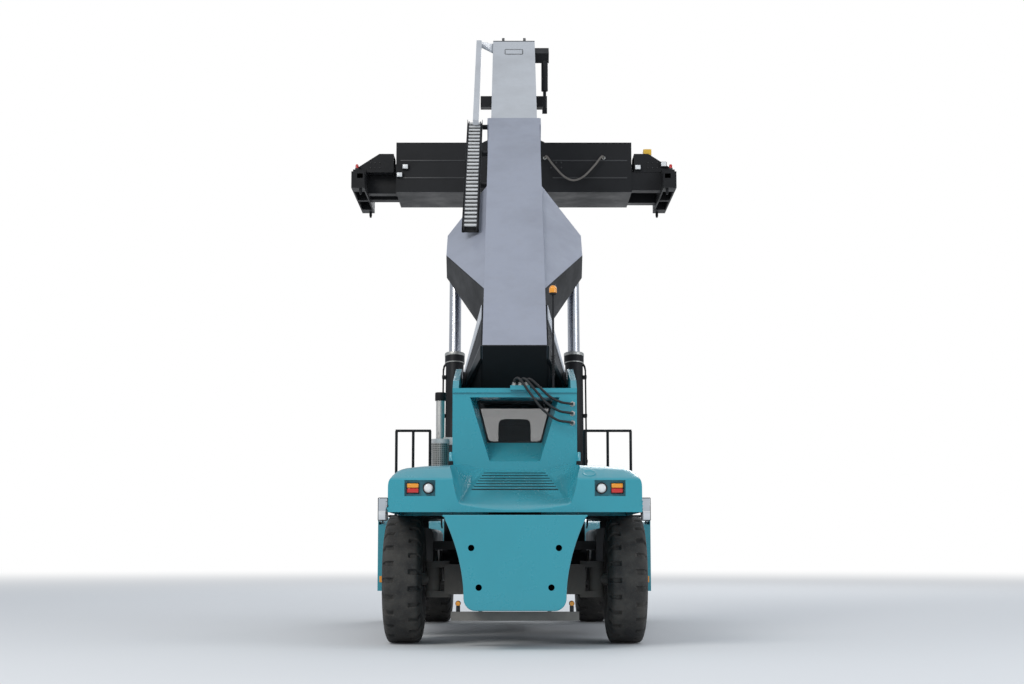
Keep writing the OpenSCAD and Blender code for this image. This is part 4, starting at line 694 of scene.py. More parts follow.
# %% [markdown]
# ## Small shapes
# Lamps, brackets and bolts are all a few basic surfaces. A box on a machine never has
# knife edges, so ours is a corner of an inner box plus a small radius in every
# direction. A bolt head is a turned profile in six steps, and a bar is a ring carried
# along, as a hose is.


# %% Boxes, bolts and loops
def soft_box(low, high, radius=0.004, steps=4):
    """A box with round edges. Each point is a corner of an inner box, plus radius times a
    direction that turns through a quarter circle for each corner, round and then up."""
    low, high = np.minimum(low, high).astype(float), np.maximum(low, high).astype(float)
    middle, core = (low + high) / 2, (high - low) / 2 - radius
    quarter = np.linspace(0, np.pi / 2, steps)
    turn = (quarter + np.arange(4)[:, None] * np.pi / 2).ravel()
    rise = np.concatenate([quarter - np.pi / 2, quarter])
    side_x, side_y = np.repeat([1, -1, -1, 1], steps), np.repeat([1, 1, -1, -1], steps)
    x = core[0] * side_x + radius * np.cos(rise)[:, None] * np.cos(turn)
    y = core[1] * side_y + radius * np.cos(rise)[:, None] * np.sin(turn)
    z = np.broadcast_to((core[2] * np.repeat([-1, 1], steps) + radius * np.sin(rise))[:, None],
                        x.shape)
    return closed(np.stack([x, y, z], -1)) + middle


def bolt(axis, radius=0.013, height=0.010):
    """A hexagon head with a small bevel, as a grid to be repeated."""
    profile = [(0, 0), (0, radius), (0.75 * height, radius), (height, 0.84 * radius), (height, 0)]
    return turned(profile, 6, axis)


def bolt_circle(x, y, radius, count):
    """Places on a circle round an axle: (x, y + r cos a, R + r sin a)."""
    a = np.arange(count) * 2 * np.pi / count
    return np.stack([np.full(count, x), y + radius * np.cos(a), WHEEL_R + radius * np.sin(a)], -1)


def loop_tube(corners, bend, radius, normal, sides=8, steps=6):
    """A ring of tube along a flat outline. At each corner p the outline follows the curve
    (1-t)^2 a + 2t(1-t) p + t^2 b between the points a and b that lie bend away from p."""
    p = np.asarray(corners, float)
    before, after = np.roll(p, 1, 0) - p, np.roll(p, -1, 0) - p
    a = p + bend * before / np.linalg.norm(before, axis=1, keepdims=True)
    b = p + bend * after / np.linalg.norm(after, axis=1, keepdims=True)
    t = np.linspace(0, 1, steps)[None, :, None]
    line = (1 - t) ** 2 * a[:, None] + 2 * t * (1 - t) * p[:, None] + t**2 * b[:, None]
    line = line.reshape(-1, 3)
    ahead = np.roll(line, -1, 0) - np.roll(line, 1, 0)
    ahead /= np.linalg.norm(ahead, axis=1, keepdims=True)
    up = np.broadcast_to(np.asarray(normal, float), line.shape)
    out = np.cross(ahead, up)
    turn = np.linspace(0, 2 * np.pi, sides, endpoint=False)[None, :, None]
    return line[:, None] + radius * (np.cos(turn) * out[:, None] + np.sin(turn) * up[:, None])


def piece(pile, name, body, key, *nodes, wall=0.0):
    """Makes a pile one piece in a finish, which may stand for some of the solids."""
    obj = pile.make(name, body, wall=wall)
    dress(obj, key)
    if nodes:
        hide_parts(*nodes)
    return obj


def from_axle(y):
    """Place along the truck, from a distance ahead of the rear axle."""
    return REAR_AXLE_Y + y


BOOM_ANGLE = math.radians(39.4)
PIVOT = np.array([0.0, from_axle(1.74), 3.5])


def on_boom(p):
    """Points (x, u, w), with u along the boom and w square to it, in the truck's space:
    y = u cos A - w sin A and z = u sin A + w cos A, from the pivot."""
    p = np.asarray(p, float)
    x, u, w = p[..., 0], p[..., 1], p[..., 2]
    c, s = math.cos(BOOM_ANGLE), math.sin(BOOM_ANGLE)
    return np.stack([x, u * c - w * s, u * s + w * c], -1) + PIVOT


print("small shapes ready")

# %% [markdown]
# ## Hood skin
# The rear hood is one sheet. From the lip it rises to the fenders' tops, and between
# them a panel falls back towards the lip, with a dished facet on either side. Each row
# of the sheet has one y. Its height blends from the fender's line to the panel's line,
# and near the lip the panel sags by a parabola across its width.


# %% Hood skin
HOOD_X, HOOD_REAR, LIP_Z, TOWER_Y, HOOD_FRONT = 1.53, -1.53, 1.637, 0.2245, 1.05
POCKET_X, POCKET_Z, POCKET_HALF, POCKET_RISE = 1.145, 1.925, 0.185, 0.095
POCKET = (POCKET_X - POCKET_HALF, POCKET_X + POCKET_HALF, POCKET_Z - POCKET_RISE,
          POCKET_Z + POCKET_RISE)


def rounded(a, b, c, steps=7):
    """The curve (1-t)^2 a + 2t(1-t) b + t^2 c, which rounds the corner b."""
    t = np.linspace(0, 1, steps)[:, None]
    return (1 - t) ** 2 * np.array(a) + 2 * t * (1 - t) * np.array(b) + t**2 * np.array(c)


def line_z(y, y0, z0, y1, z1):
    """Height at y on the straight line through two points."""
    return z0 + (y - y0) * (z1 - z0) / (y1 - y0)


lip_z = np.array([LIP_Z, 1.70, 1.76, POCKET[2] - 0.001, POCKET[2], 1.88, 1.925, 1.97, POCKET[3],
                  POCKET[3] + 0.001])
edge = rounded((HOOD_REAR, 2.022), (HOOD_REAR, 2.040), (-1.490, 2.062))[1:]
knee = rounded((-1.33, 2.1494), (-1.21, 2.215), (-1.05, 2.2243), 9)
top_y = np.linspace(-0.95, TOWER_Y, 16)
fender = np.concatenate([np.stack([np.full(10, HOOD_REAR), lip_z], -1), edge, [[-1.41, 2.1056]],
                         knee, np.stack([top_y, line_z(top_y, -1.21, 2.215, 0.25, 2.300)], -1)])
row_y, fender_z = fender.T
panel_z = line_z(row_y, HOOD_REAR, 1.740, 0.2, 2.220)
panel_z[:10] = np.linspace(LIP_Z, 1.725, 10)
panel_z[10:16] = np.maximum(panel_z[10:16] - np.linspace(0.010, 0.0, 6), 1.727)

inner_x = line_z(row_y, HOOD_REAR, 0.680, 0.2, 0.410)
outer_x = np.interp(row_y, [HOOD_REAR, -1.21, TOWER_Y], [0.752, 0.800, 0.640])
turn = np.linspace(0, np.pi / 2, 14)[1:]
fixed_x = np.array([0.90, POCKET[0] - 0.001, POCKET[0], 1.03, 1.10, 1.17, 1.24, POCKET[1] - 0.035,
                    POCKET[1], POCKET[1] + 0.001])
wall_x = np.concatenate([fixed_x, 1.27 + 0.26 * np.sin(turn[3:]), np.full(4, HOOD_X)])
flat_top = np.minimum(2.300, line_z(fixed_x, 0.85, 2.300, 1.27, 2.200))
on_arc = 1.94 + np.sqrt(np.clip(0.26**2 - np.clip(fixed_x - 1.27, 0, None) ** 2, 0, None))
wall_top = np.concatenate([np.where(fixed_x > 1.27, on_arc, flat_top),
                           1.94 + 0.26 * np.cos(turn[3:]), np.linspace(1.94, LIP_Z, 5)[1:]])
softness = np.interp(wall_top, [1.94, 2.10, 2.30], [0.0, 0.03, 0.045])


def lower_of(a, b, soft):
    """A soft minimum: (a + b - sqrt((a - b)^2 + soft^2)) / 2."""
    return (a + b - np.sqrt((a - b) ** 2 + soft**2)) / 2


def hood_half(s):
    """One half of the sheet: panel, facet and fender columns, as a rows x columns x 3 grid."""
    across = np.array([[0, 0.2, 0.4, 0.6, 0.8, 0.93, 0.96, 0.98, 1.0]])
    facet = np.array([[0.06, 0.12, 0.22, 0.38, 0.55, 0.72, 0.88, 1.0]])
    x = np.concatenate([inner_x[:, None] * across,
                        inner_x[:, None] + (outer_x - inner_x)[:, None] * facet,
                        np.broadcast_to(wall_x, (len(row_y), len(wall_x)))], 1)
    blend = np.concatenate([np.ones((1, 9)), (1 - facet) + 0.06 * np.sin(np.pi * facet)], 1)
    ridge = 0.016 * np.exp(-(((x[:, :17] - inner_x[:, None]) / 0.022) ** 2))
    ridge = ridge * (row_y[:, None] > HOOD_REAR)
    near = np.clip(1 - (row_y - HOOD_REAR) / 0.62, 0, 1)[:, None] ** 2
    height = np.clip((panel_z - LIP_Z) / (1.725 - LIP_Z), 0, 1)[:, None]
    sag = 0.070 * height * near * np.clip(1 - (x[:, :17] / inner_x[:, None]) ** 2, 0, 1)
    middle = fender_z[:, None] + blend * (panel_z - fender_z)[:, None] + ridge - sag
    share = ((fender_z - LIP_Z) / (2.022 - LIP_Z))[:, None]
    upright = LIP_Z + share * (np.minimum(2.022, wall_top) - LIP_Z)
    roof = lower_of(fender_z[:, None], wall_top[None], softness[None])
    sides = np.where(np.arange(len(row_y))[:, None] < 10, upright,
                     np.maximum(roof, np.minimum(2.022, wall_top)))
    z = np.concatenate([middle, sides], 1)
    y = np.broadcast_to(row_y[:, None], z.shape).copy()
    rows, cols = np.arange(4, 9), np.flatnonzero(
        (wall_x >= POCKET[0]) & (wall_x <= POCKET[1])) + 17
    y[np.ix_(rows, cols)] += 0.088
    return np.stack([s * x, y + REAR_AXLE_Y, z], -1)


skin = Pile()
for s in (-1, 1):
    half = hood_half(s)
    skin.grid(half)
    rear_edge = half[-1, 17:]
    start_x = np.concatenate([[s * 0.8335], rear_edge[1:, 0]])
    y = np.linspace(TOWER_Y, HOOD_FRONT, 8)[:, None]
    z = np.broadcast_to(np.concatenate([[2.294], rear_edge[1:, 2]]), (8, len(start_x)))
    x = np.broadcast_to(start_x, z.shape)
    front = np.stack([x, np.broadcast_to(y, z.shape) + REAR_AXLE_Y, z], -1)
    skin.grid(np.concatenate([front, front[-1:] * [1, 1, 0] + [0, 0, LIP_Z]]))
hood = piece(skin, "hood_skin", "root", "teal", "rear_hood", wall=0.012)
fittings, collars = Pile(), Pile()
for s in (-1, 1):
    fittings.box((s * 0.8205, from_axle(0.2), LIP_Z), (s * 0.8325, from_axle(HOOD_FRONT), 2.26),
                 0.003)
    fittings.tube(closed(turned([(2.27, 0.022), (2.432, 0.022), (2.440, 0.016)], 24, "z",
                                (s * 0.83, from_axle(-0.05), 0))))
    collars.tube(closed(turned([(2.27, 0.034), (2.318, 0.034), (2.324, 0.028)], 24, "z",
                               (s * 0.83, from_axle(-0.05), 0))))
slope = math.atan2(0.175, 0.32)
dish = turned([(-0.004, 0.0), (-0.004, 0.050), (0.004, 0.066), (0.007, 0.076), (0.004, 0.086),
               (-0.01, 0.090), (-0.01, 0.0)], 36, "z")
lifted = np.stack([dish[..., 0], dish[..., 1] * math.cos(slope) - dish[..., 2] * math.sin(slope),
                   dish[..., 1] * math.sin(slope) + dish[..., 2] * math.cos(slope)], -1)
fittings.tube(lifted + [0.90, from_axle(-1.40), 2.112])
piece(fittings, "hood_posts_and_dish", "root", "teal")
piece(collars, "hood_post_collars", "root", "black")
print("hood skin has", len(hood.data.polygons), "faces")

# %% [markdown]
# ## Grille
# Seven teal slats lie across the panel, each a little tilted. Beneath them a black sheet
# paints the shade of the opening.

# %% Grille slats
PANEL_ANGLE = math.atan2(0.480, 1.730)
PANEL_L = math.hypot(0.480, 1.730)


def on_panel(x, along, off):
    """A point on the sloped panel: along up the slope, off square to it."""
    y = HOOD_REAR + along * math.cos(PANEL_ANGLE) - off * math.sin(PANEL_ANGLE)
    z = 1.740 + along * math.sin(PANEL_ANGLE) + off * math.cos(PANEL_ANGLE)
    return np.stack([x, y + REAR_AXLE_Y, z], -1)


def half_width(along):
    """Half the panel's width, less a margin."""
    return 0.680 - 0.270 * along / PANEL_L - 0.034


slats, painted_shade_sheet = Pile(), Pile()
GRILLE = (0.690, 1.730)
along = np.array([GRILLE[0], GRILLE[0], GRILLE[1], GRILLE[1], GRILLE[0]])
sheet = np.array([0.0005, 0.0025, 0.0025, 0.0005, 0.0005])
sides = np.array([-1, 1])[:, None] * half_width(along)
# A black sheet just above the panel paints the shade in the opening under the slats.
painted_shade_sheet.tube(closed(on_panel(sides, np.broadcast_to(along, sides.shape),
                             np.broadcast_to(sheet, sides.shape))[:, :4]))
pitch = (GRILLE[1] - GRILLE[0]) / 7
a = np.linspace(0, 2 * np.pi, 20, endpoint=False)
for k in range(7):
    wave = np.sign(np.cos(a)) * np.abs(np.cos(a)) ** 0.6
    rise = np.sign(np.sin(a)) * np.abs(np.sin(a)) ** 0.6
    along = GRILLE[0] + pitch * (k + 0.60) + 0.33 * pitch * wave
    off = 0.0055 + 0.0015 * rise
    reach = np.array([-1, -0.992, 0, 0.992, 1])[:, None] * half_width(along)
    slats.tube(closed(on_panel(reach, np.broadcast_to(along, reach.shape),
                               np.broadcast_to(off, reach.shape))))
piece(painted_shade_sheet, "grille_painted_shade_sheet", "root", "black", "engine_grille")
piece(slats, "grille_slats", "root", "teal", "engine_grille")
print("grille slats laid")

# %% [markdown]
# ## Counterweight
# Its sides sweep in below the hood and its lower corners are round. The rear face is
# flat, with four holes, and a small round runs along its edge.

# %% Counterweight
CW_REAR, CW_FRONT, EDGE_R = -1.750, -0.9605, 0.018
HOLE_R, HOLE_DEPTH = 0.038, 0.119
CW_HOLES = [(0.52, 1.21), (-0.52, 1.21), (0.43, 0.745), (-0.43, 0.745)]
z = np.linspace(0.62, 1.60, 30)
corner = np.linspace(0, np.pi / 2, 9)
foot = np.stack([0.47 + 0.14 * np.sin(corner), 0.62 - 0.15 * np.cos(corner)], -1)
flank = np.stack([0.61 + 0.25 * ((z - 0.62) / 0.98) ** 1.9, z], -1)
side = np.concatenate([foot[:-1], flank])
outline = np.concatenate([side, side[::-1] * [-1, 1]])
ahead = np.roll(outline, -1, 0) - np.roll(outline, 1, 0)
outward = np.stack([ahead[:, 1], -ahead[:, 0]], -1)
outward /= np.linalg.norm(outward, axis=1, keepdims=True)
bend = np.linspace(0, np.pi / 2, 6)[:, None, None]
flat = outline[None] - EDGE_R * (1 - np.sin(bend)) * outward[None]
depth = CW_REAR + EDGE_R * (1 - np.cos(bend[..., 0])) + 0 * flat[..., 0]
rings = np.stack([flat[..., 0], depth + REAR_AXLE_Y, flat[..., 1]], -1)
last = np.stack([outline[:, 0], np.full(len(outline), from_axle(CW_FRONT)), outline[:, 1]], -1)
body = Pile()
body.tube(np.concatenate([rings, last[None]]))
holes = []
for x, z in CW_HOLES:
    end = CW_REAR + HOLE_DEPTH
    hole = turned([(CW_REAR, HOLE_R), (end, HOLE_R), (end, 0)], 40, "y", (x, REAR_AXLE_Y, z))
    body.tube(hole)
    holes.append(hole[0])
body.flat([rings[0]] + holes)
body.flat([last])
piece(body, "counterweight_body", "root", "teal", "counterweight")
print("counterweight cast with", len(holes), "holes")

# %% [markdown]
# ## Boom trim
# A pale flange runs down the outer edge of each cheek at the boom's root. The cheeks and the
# flange behind them are black, partly their own dark paint and partly painted shade, as these
# plates face down and back. Near the tip a blank plate lies on the boom.

# %% Boom trim
flanges, plate, rim = Pile(), Pile(), Pile()
t = np.linspace(0, 1, 14)[:, None]
for s in (-1, 1):
    x, w = 0.4653 + t * (0.710 - 0.4653), 0.760 - t * 0.670
    near, far = 0.52 + t * (0.06 - 0.52), 0.899 + t * (0.169 - 0.899)
    ring = [(x + 0.0015, near, w), (x + 0.0110, near, w + 0.003), (x + 0.0110, far, w + 0.003),
            (x + 0.0015, far, w)]
    band = np.concatenate([np.stack(corner, -1) for corner in ring], 1) * [s, 1, 1]
    flanges.tube(closed(on_boom(band)))
piece(flanges, "cheek_flanges", "boom", "pale")
plate.box((-0.165, 9.635, 0.9755), (0.165, 9.865, 0.9790), 0.0015)
rim.ring(loop_tube([(-0.165, 9.635, 0.979), (0.165, 9.635, 0.979), (0.165, 9.865, 0.979),
                    (-0.165, 9.865, 0.979)], 0.02, 0.006, (0, 0, 1)))
for pile in (plate, rim):
    pile.moved(on_boom)
piece(plate, "blank_plate", "boom_stage", "pale")
piece(rim, "blank_plate_rim", "boom_stage", "frame")

# Outside the boom's sides and below 4.5 m the lilac turns black: partly the plates' dark paint,
# partly painted shade on faces that look down and back.
CHEEK_X, SHADED_BLACK_TOP_Z = 0.4375, 4.5
boom_paint = MATERIALS["lilac"].copy()
boom_paint.name = "boom_paint_with_black_and_shaded_root"
tree = boom_paint.node_tree
shader = next(n for n in tree.nodes if n.type == "BSDF_PRINCIPLED")
coords = next(n for n in tree.nodes if n.type == "TEX_COORD").outputs["Object"]
split = add(tree, "ShaderNodeSeparateXYZ")
size, beyond, below = (add(tree, "ShaderNodeMath", operation=word)
                       for word in ("ABSOLUTE", "GREATER_THAN", "LESS_THAN"))
beyond.inputs[1].default_value, below.inputs[1].default_value = CHEEK_X, SHADED_BLACK_TOP_Z
join(coords, split.inputs[0])
join(split.outputs["X"], size.inputs[0])
join(size.outputs[0], beyond.inputs[0])
join(split.outputs["Z"], below.inputs[0])
old = shader.inputs["Base Color"].links[0].from_socket
painted = mix_colour(tree, times(tree, beyond.outputs[0], below.outputs[0]), old,
                     (0.012, 0.0125, 0.014))
join(painted, shader.inputs["Base Color"])
MATERIALS["lilac_and_shaded_black"] = boom_paint
dress(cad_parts["boom_outer"], "lilac_and_shaded_black")
dress(hoses["spreader_hose"][0], "pale_hose")
print("boom trimmed")

# %% [markdown]
# ## Rear lamps
# In each pocket of the hood sits a round white lamp and, outside it, a block with a red
# and an amber lens. A lens is a shallow dome, and a dark bezel holds it.

# %% Rear lamps
POCKET_BACK = from_axle(-1.44)
bezels, white_lens, red_lens, amber_lens = Pile(), Pile(), Pile(), Pile()
for s in (-1, 1):
    centre = (s * (POCKET_X - 0.100), POCKET_BACK, POCKET_Z)
    bezels.turn([(0, 0), (0, 0.070), (-0.052, 0.070), (-0.058, 0.066), (-0.058, 0.060),
                 (-0.044, 0.056), (-0.044, 0)], 40, "y", centre)
    white_lens.turn([(-0.043, 0), (-0.043, 0.056), (-0.052, 0.053), (-0.061, 0.040),
                     (-0.066, 0.020), (-0.067, 0)], 40, "y", centre)
    x0, x1 = s * (POCKET_X + 0.010), s * (POCKET_X + 0.165)
    bezels.box((x0, POCKET_BACK - 0.045, 1.860), (x1, POCKET_BACK, 1.990), 0.008)
    for lens_pile, z0, z1 in ((red_lens, 1.868, 1.922), (amber_lens, 1.928, 1.982)):
        lens_pile.box((x0 + s * 0.008, POCKET_BACK - 0.068, z0),
                      (x1 - s * 0.008, POCKET_BACK - 0.040, z1), 0.010)
piece(bezels, "rear_lamp_bezels", "root", "plastic", "lamps")
piece(white_lens, "rear_lamp_white", "root", "clear", "lamps")
piece(red_lens, "rear_lamp_red", "root", "red", "lamps")
piece(amber_lens, "rear_lamp_amber", "root", "amber", "lamps")
print("rear lamps made")

# %% [markdown]
# ## Beacon
# A dark pole carries an amber dome with ribs. Its cable winds round the pole, so the
# cable is a helix: a circle in x and y while z rises evenly.

# %% Beacon
BEACON_X, BEACON_Y = 0.51, from_axle(0.275)
pole, dome = Pile(), Pile()
pole.tube(closed(turned([(3.300, 0.034), (3.312, 0.034), (3.316, 0.015), (4.545, 0.015),
                         (4.552, 0.045), (4.572, 0.048), (4.578, 0.044)], 20, "z",
                        (BEACON_X, BEACON_Y, 0))))
t = np.linspace(0, 1, 150)
helix = np.stack([BEACON_X + 0.022 * np.cos(16 * np.pi * t),
                  BEACON_Y + 0.022 * np.sin(16 * np.pi * t), 3.46 + 0.28 * t], -1)
pole.bar(helix, 0.006, 6)
ribbed = [(4.578 + 0.008 * k, 0.050 + 0.0025 * (k % 2)) for k in range(9)]
dome.turn([(4.576, 0)] + ribbed + [(4.655, 0.044), (4.671, 0.030), (4.678, 0.012), (4.679, 0)],
          32, "z", (BEACON_X, BEACON_Y, 0))
piece(pole, "beacon_pole", "root", "black", "beacon")
piece(dome, "beacon_dome", "root", "amber", "beacon")
print("beacon made")

# %% [markdown]
# ## Exhaust
# The hot pipe stands inside a perforated shield. Real holes catch the light better than
# a painted pattern, so the wall is built from square cells. Each cell is a ring of
# eight quads between its square edge and a round hole, and the cells wrap round.

# %% Exhaust
EXHAUST = (-1.03, from_axle(1.4), 0.0)
SHIELD_R, SHIELD_Z0, SHIELD_Z1 = 0.124, 1.652, 2.690


def perforated(radius, z0, z1, cols=28, rows=37, hole=0.66):
    """Cell point (s, t) goes to angle (col + s) 2 pi / cols and to height
    z0 + (row + t) (z1 - z0) / rows."""
    a = np.arange(8) * np.pi / 4
    rim = np.stack([np.cos(a), np.sin(a)], -1)
    cell = np.concatenate([np.clip(math.sqrt(2) * rim, -1, 1) / 2, hole / 2 * rim]) + 0.5
    col, row = (v.ravel()[:, None] for v in np.meshgrid(np.arange(cols), np.arange(rows)))
    turn = (col + cell[:, 0]) * 2 * np.pi / cols
    z = z0 + (row + cell[:, 1]) * (z1 - z0) / rows
    points = np.stack([EXHAUST[0] + radius * np.cos(turn), EXHAUST[1] + radius * np.sin(turn), z],
                      -1)
    k = np.arange(8)
    ring = np.stack([k, (k + 1) % 8, 8 + (k + 1) % 8, 8 + k], -1)
    quads = ring[None] + 16 * np.arange(rows * cols)[:, None, None]
    return points.reshape(-1, 3), quads.reshape(-1, 4)


shield, stack, cap, bracket = Pile(), Pile(), Pile(), Pile()
shield.copies(*perforated(SHIELD_R, SHIELD_Z0 + 0.03, SHIELD_Z1 - 0.03), [(0, 0, 0)])
for z0, z1 in ((SHIELD_Z0, SHIELD_Z0 + 0.03), (SHIELD_Z1 - 0.03, SHIELD_Z1)):
    shield.turn([(z0, 0.115), (z0, 0.125), (z1, 0.125), (z1, 0.115), (z0, 0.115)], 56, "z",
                EXHAUST)
cap.tube(closed(turned([(1.655, 0.095), (2.66, 0.095)], 32, "z", EXHAUST)))
stack.turn([(2.655, 0.0), (2.655, 0.060), (3.262, 0.060), (3.268, 0.052), (2.70, 0.052)], 36, "z",
           EXHAUST)
cap.turn([(3.235, 0.061), (3.232, 0.071), (3.245, 0.075), (3.335, 0.075), (3.348, 0.069),
          (3.348, 0.058), (3.245, 0.055)], 36, "z", EXHAUST)
bracket.box((-1.00, from_axle(1.365), 2.620), (-0.8205, from_axle(1.435), 2.724), 0.008)
bracket.turn([(2.640, 0.125), (2.640, 0.129), (2.700, 0.129), (2.700, 0.125)], 56, "z", EXHAUST)
piece(shield, "exhaust_shield", "root", "zinc", "exhaust")
piece(stack, "exhaust_pipe", "root", "bright", "exhaust")
piece(cap, "exhaust_cap_and_core", "root", "black", "exhaust")
piece(bracket, "exhaust_bracket", "root", "white_plastic", "exhaust")
print("exhaust shield has", 28 * 37, "holes")

# %% [markdown]
# ## Mirrors
# Each mirror is a dark shell with round edges, a silvered pane that looks back, and a
# bent tube that holds it to the fender.

# %% Mirrors
MIRROR_X, MIRROR_Y, MIRROR_Z0, MIRROR_Z1 = 2.102, from_axle(5.078), 1.630, 2.000
shells, silver = Pile(), Pile()
for s in (-1, 1):
    x = s * MIRROR_X
    shells.box((x - 0.082, MIRROR_Y - 0.014, MIRROR_Z0), (x + 0.082, MIRROR_Y + 0.020, MIRROR_Z1),
               0.016)
    silver.box((x - 0.070, MIRROR_Y - 0.0165, MIRROR_Z0 + 0.014),
               (x + 0.070, MIRROR_Y - 0.012, MIRROR_Z1 - 0.014), 0.002)
    shells.bar([(x, MIRROR_Y, 1.660), (x, MIRROR_Y, 1.600), (x, MIRROR_Y + 0.10, 1.598),
                (x, MIRROR_Y + 0.20, 1.598), (s * 2.166, MIRROR_Y + 0.235, 1.598)], 0.011)
    shells.box((s * 2.150, MIRROR_Y + 0.200, 1.570), (s * 2.1675, MIRROR_Y + 0.260, 1.626), 0.004)
piece(shells, "mirror_shells", "root", "plastic", "mirrors")
piece(silver, "mirror_panes", "root", "mirror", "mirrors")
print("mirrors made")

# %% [markdown]
# ## Driver's seat
# A sewn seat swells between its seams. We start from a box-like round solid, where each
# side is a power of a cosine or sine, and press a channel in along each seam.

# %% Seat
SEAT_Y, SEAT_Z = from_axle(2.41), 2.36


def pad(low, high, thick_axis, seam_axis, seams, power=0.30, rows=72, cols=128):
    """Centre plus half size times (c(a)c(b), c(a)s(b), s(a)), where c and s are the cosine and
    sine raised to a small power with their sign kept. Across each seam the thickness drops by a
    bell curve."""
    low, high = np.asarray(low, float), np.asarray(high, float)
    a = np.linspace(-np.pi / 2, np.pi / 2, rows)[:, None]
    b = np.linspace(0, 2 * np.pi, cols, endpoint=False)[None]
    shaped = lambda v: np.sign(v) * np.abs(v) ** power
    p = np.stack([shaped(np.cos(a)) * shaped(np.cos(b)), shaped(np.cos(a)) * shaped(np.sin(b)),
                  shaped(np.sin(a)) + 0 * b], -1)
    groove = sum(np.exp(-((p[..., seam_axis] - seam) / 0.035) ** 2) for seam in seams)
    p[..., thick_axis] *= 1 - 0.16 * groove
    for side_axis in set(range(3)) - {thick_axis}:
        p[..., side_axis] *= 1 - 0.025 * (1 - p[..., thick_axis] ** 2)
    return (low + high) / 2 + p * (high - low) / 2


seat_parts = {
    "seat_cushion": ((-0.26, SEAT_Y, SEAT_Z), (0.26, SEAT_Y + 0.54, SEAT_Z + 0.12),
                     2, 0, (-0.55, 0.55)),
    "seat_back": ((-0.24, SEAT_Y - 0.06, 2.4803), (0.24, SEAT_Y + 0.06, 3.06),
                  1, 2, (-0.35, 0.15, 0.62)),
}
for name, (low, high, thick, seam_axis, seams) in seat_parts.items():
    cushion = Pile()
    cushion.tube(pad(low, high, thick, seam_axis, seams))
    piece(cushion, name, "root", "cloth", "operator_seat")
print("seat has", len(seat_parts), "pads")

# %% [markdown]
# ## Wheels
# Bolts hold each disc, and a split ring holds the tyre's bead. One row per hub gives
# its face, its bolt circle and its cap.

# %% Wheel nuts, rings and caps
# body, x of the disc's face, x of the bead's ring, y, bolt circle, bolts, x and radius of the cap
HUBS = [
    ("rear_wheel", 1.497, 1.622, REAR_AXLE_Y, 0.205, 16, 1.575, 0.140),
    ("front_wheel", 1.917, 2.042, FRONT_AXLE_Y, 0.215, 20, 1.975, 0.150),
]
for body, face_x, ring_x, y, circle, count, cap_x, cap_r in HUBS:
    for s, word in SIDES:
        nuts, rings = Pile(), Pile()
        nuts.repeat(bolt("x", 0.020, 0.028) * [s, 1, 1], bolt_circle(s * face_x, y, circle, count))
        nuts.repeat(bolt("x", 0.012, 0.006) * [s, 1, 1],
                    bolt_circle(s * (cap_x - 0.005), y, 0.8 * cap_r, 12))
        rings.turn([(s * (ring_x - 0.016), 0.322), (s * ring_x, 0.330),
                    (s * (ring_x + 0.006), 0.322), (s * ring_x, 0.304),
                    (s * (ring_x - 0.030), 0.300), (s * (ring_x - 0.016), 0.322)], 72, "x",
                   (0, y, WHEEL_R))
        rings.turn([(s * (cap_x - 0.07), cap_r + 0.002), (s * (cap_x - 0.065), cap_r + 0.012),
                    (s * (cap_x - 0.045), cap_r + 0.012), (s * (cap_x - 0.040), cap_r + 0.002)],
                   48, "x", (0, y, WHEEL_R))
        piece(nuts, f"{body}_nuts_{word}", f"{body}_{word}", "zinc")
        piece(rings, f"{body}_rings_{word}", f"{body}_{word}", "rim")
print("wheels bolted")

# %% [markdown]
# ## Energy chain
# Cables run to the boom's moving part in a chain of links. Seen from above it is a
# ladder: dark side links, pale cross bars. It lies in a trough along the boom.

# %% Chain
CHAIN_U0, CHAIN_U1, CHAIN_W = 2.70, 6.60, 0.96
TROUGH = np.array([
    [-0.800, 1.035], [-0.800, CHAIN_W], [-0.540, CHAIN_W], [-0.540, 1.035],
    [-0.548, 1.035], [-0.548, CHAIN_W + 0.010], [-0.792, CHAIN_W + 0.010], [-0.792, 1.035]])
trough, links, rungs = Pile(), Pile(), Pile()
ends = np.array([CHAIN_U0, CHAIN_U1])
outline = np.stack([np.broadcast_to(TROUGH[:, 0], (2, 8)), np.broadcast_to(ends[:, None], (2, 8)),
                    np.broadcast_to(TROUGH[:, 1], (2, 8))], -1)
trough.tube(outline)
for u in (4.30, 5.45, 6.48):
    x1 = -0.4355 if u < 6.3 else -0.4575
    trough.box((-0.541, u, 0.902), (x1, u + 0.06, 0.970), 0.003)
LINK = 0.130
starts = np.arange(CHAIN_U0 + 0.01, CHAIN_U1 - LINK, LINK)
link = soft_box((-0.010, 0.002, 0.0), (0.010, LINK + 0.006, 0.085), 0.005, 3)
rung = soft_box((-0.094, 0.030, 0.068), (0.094, 0.080, 0.096), 0.008, 3)
for pile, shape, x in ((links, link, -0.770), (links, link, -0.570), (rungs, rung, -0.670)):
    pile.repeat(shape, np.stack([np.full(len(starts), x), starts,
                                 np.full(len(starts), CHAIN_W + 0.012)], -1))
for pile in (trough, links, rungs):
    pile.moved(on_boom)
piece(trough, "chain_trough", "boom", "black", "energy_chain")
piece(links, "chain_links", "boom", "plastic", "energy_chain")
piece(rungs, "chain_rungs", "boom", "white_plastic", "energy_chain")
print("chain of", len(starts), "links")

# %% [markdown]
# ## Lift cylinders
# A bright ring with bolts closes each barrel, and two thin pipes in clamps feed it
# along its outer side. The cylinder leans, so its pieces are placed along its own line.

# %% Cylinder rings and pipes
LIFT_BASE, LIFT_LEAN = np.array([0.905, from_axle(3.0), 1.05]), math.radians(9.0876)
BARREL_L, GLAND_R = 3.11, 0.124


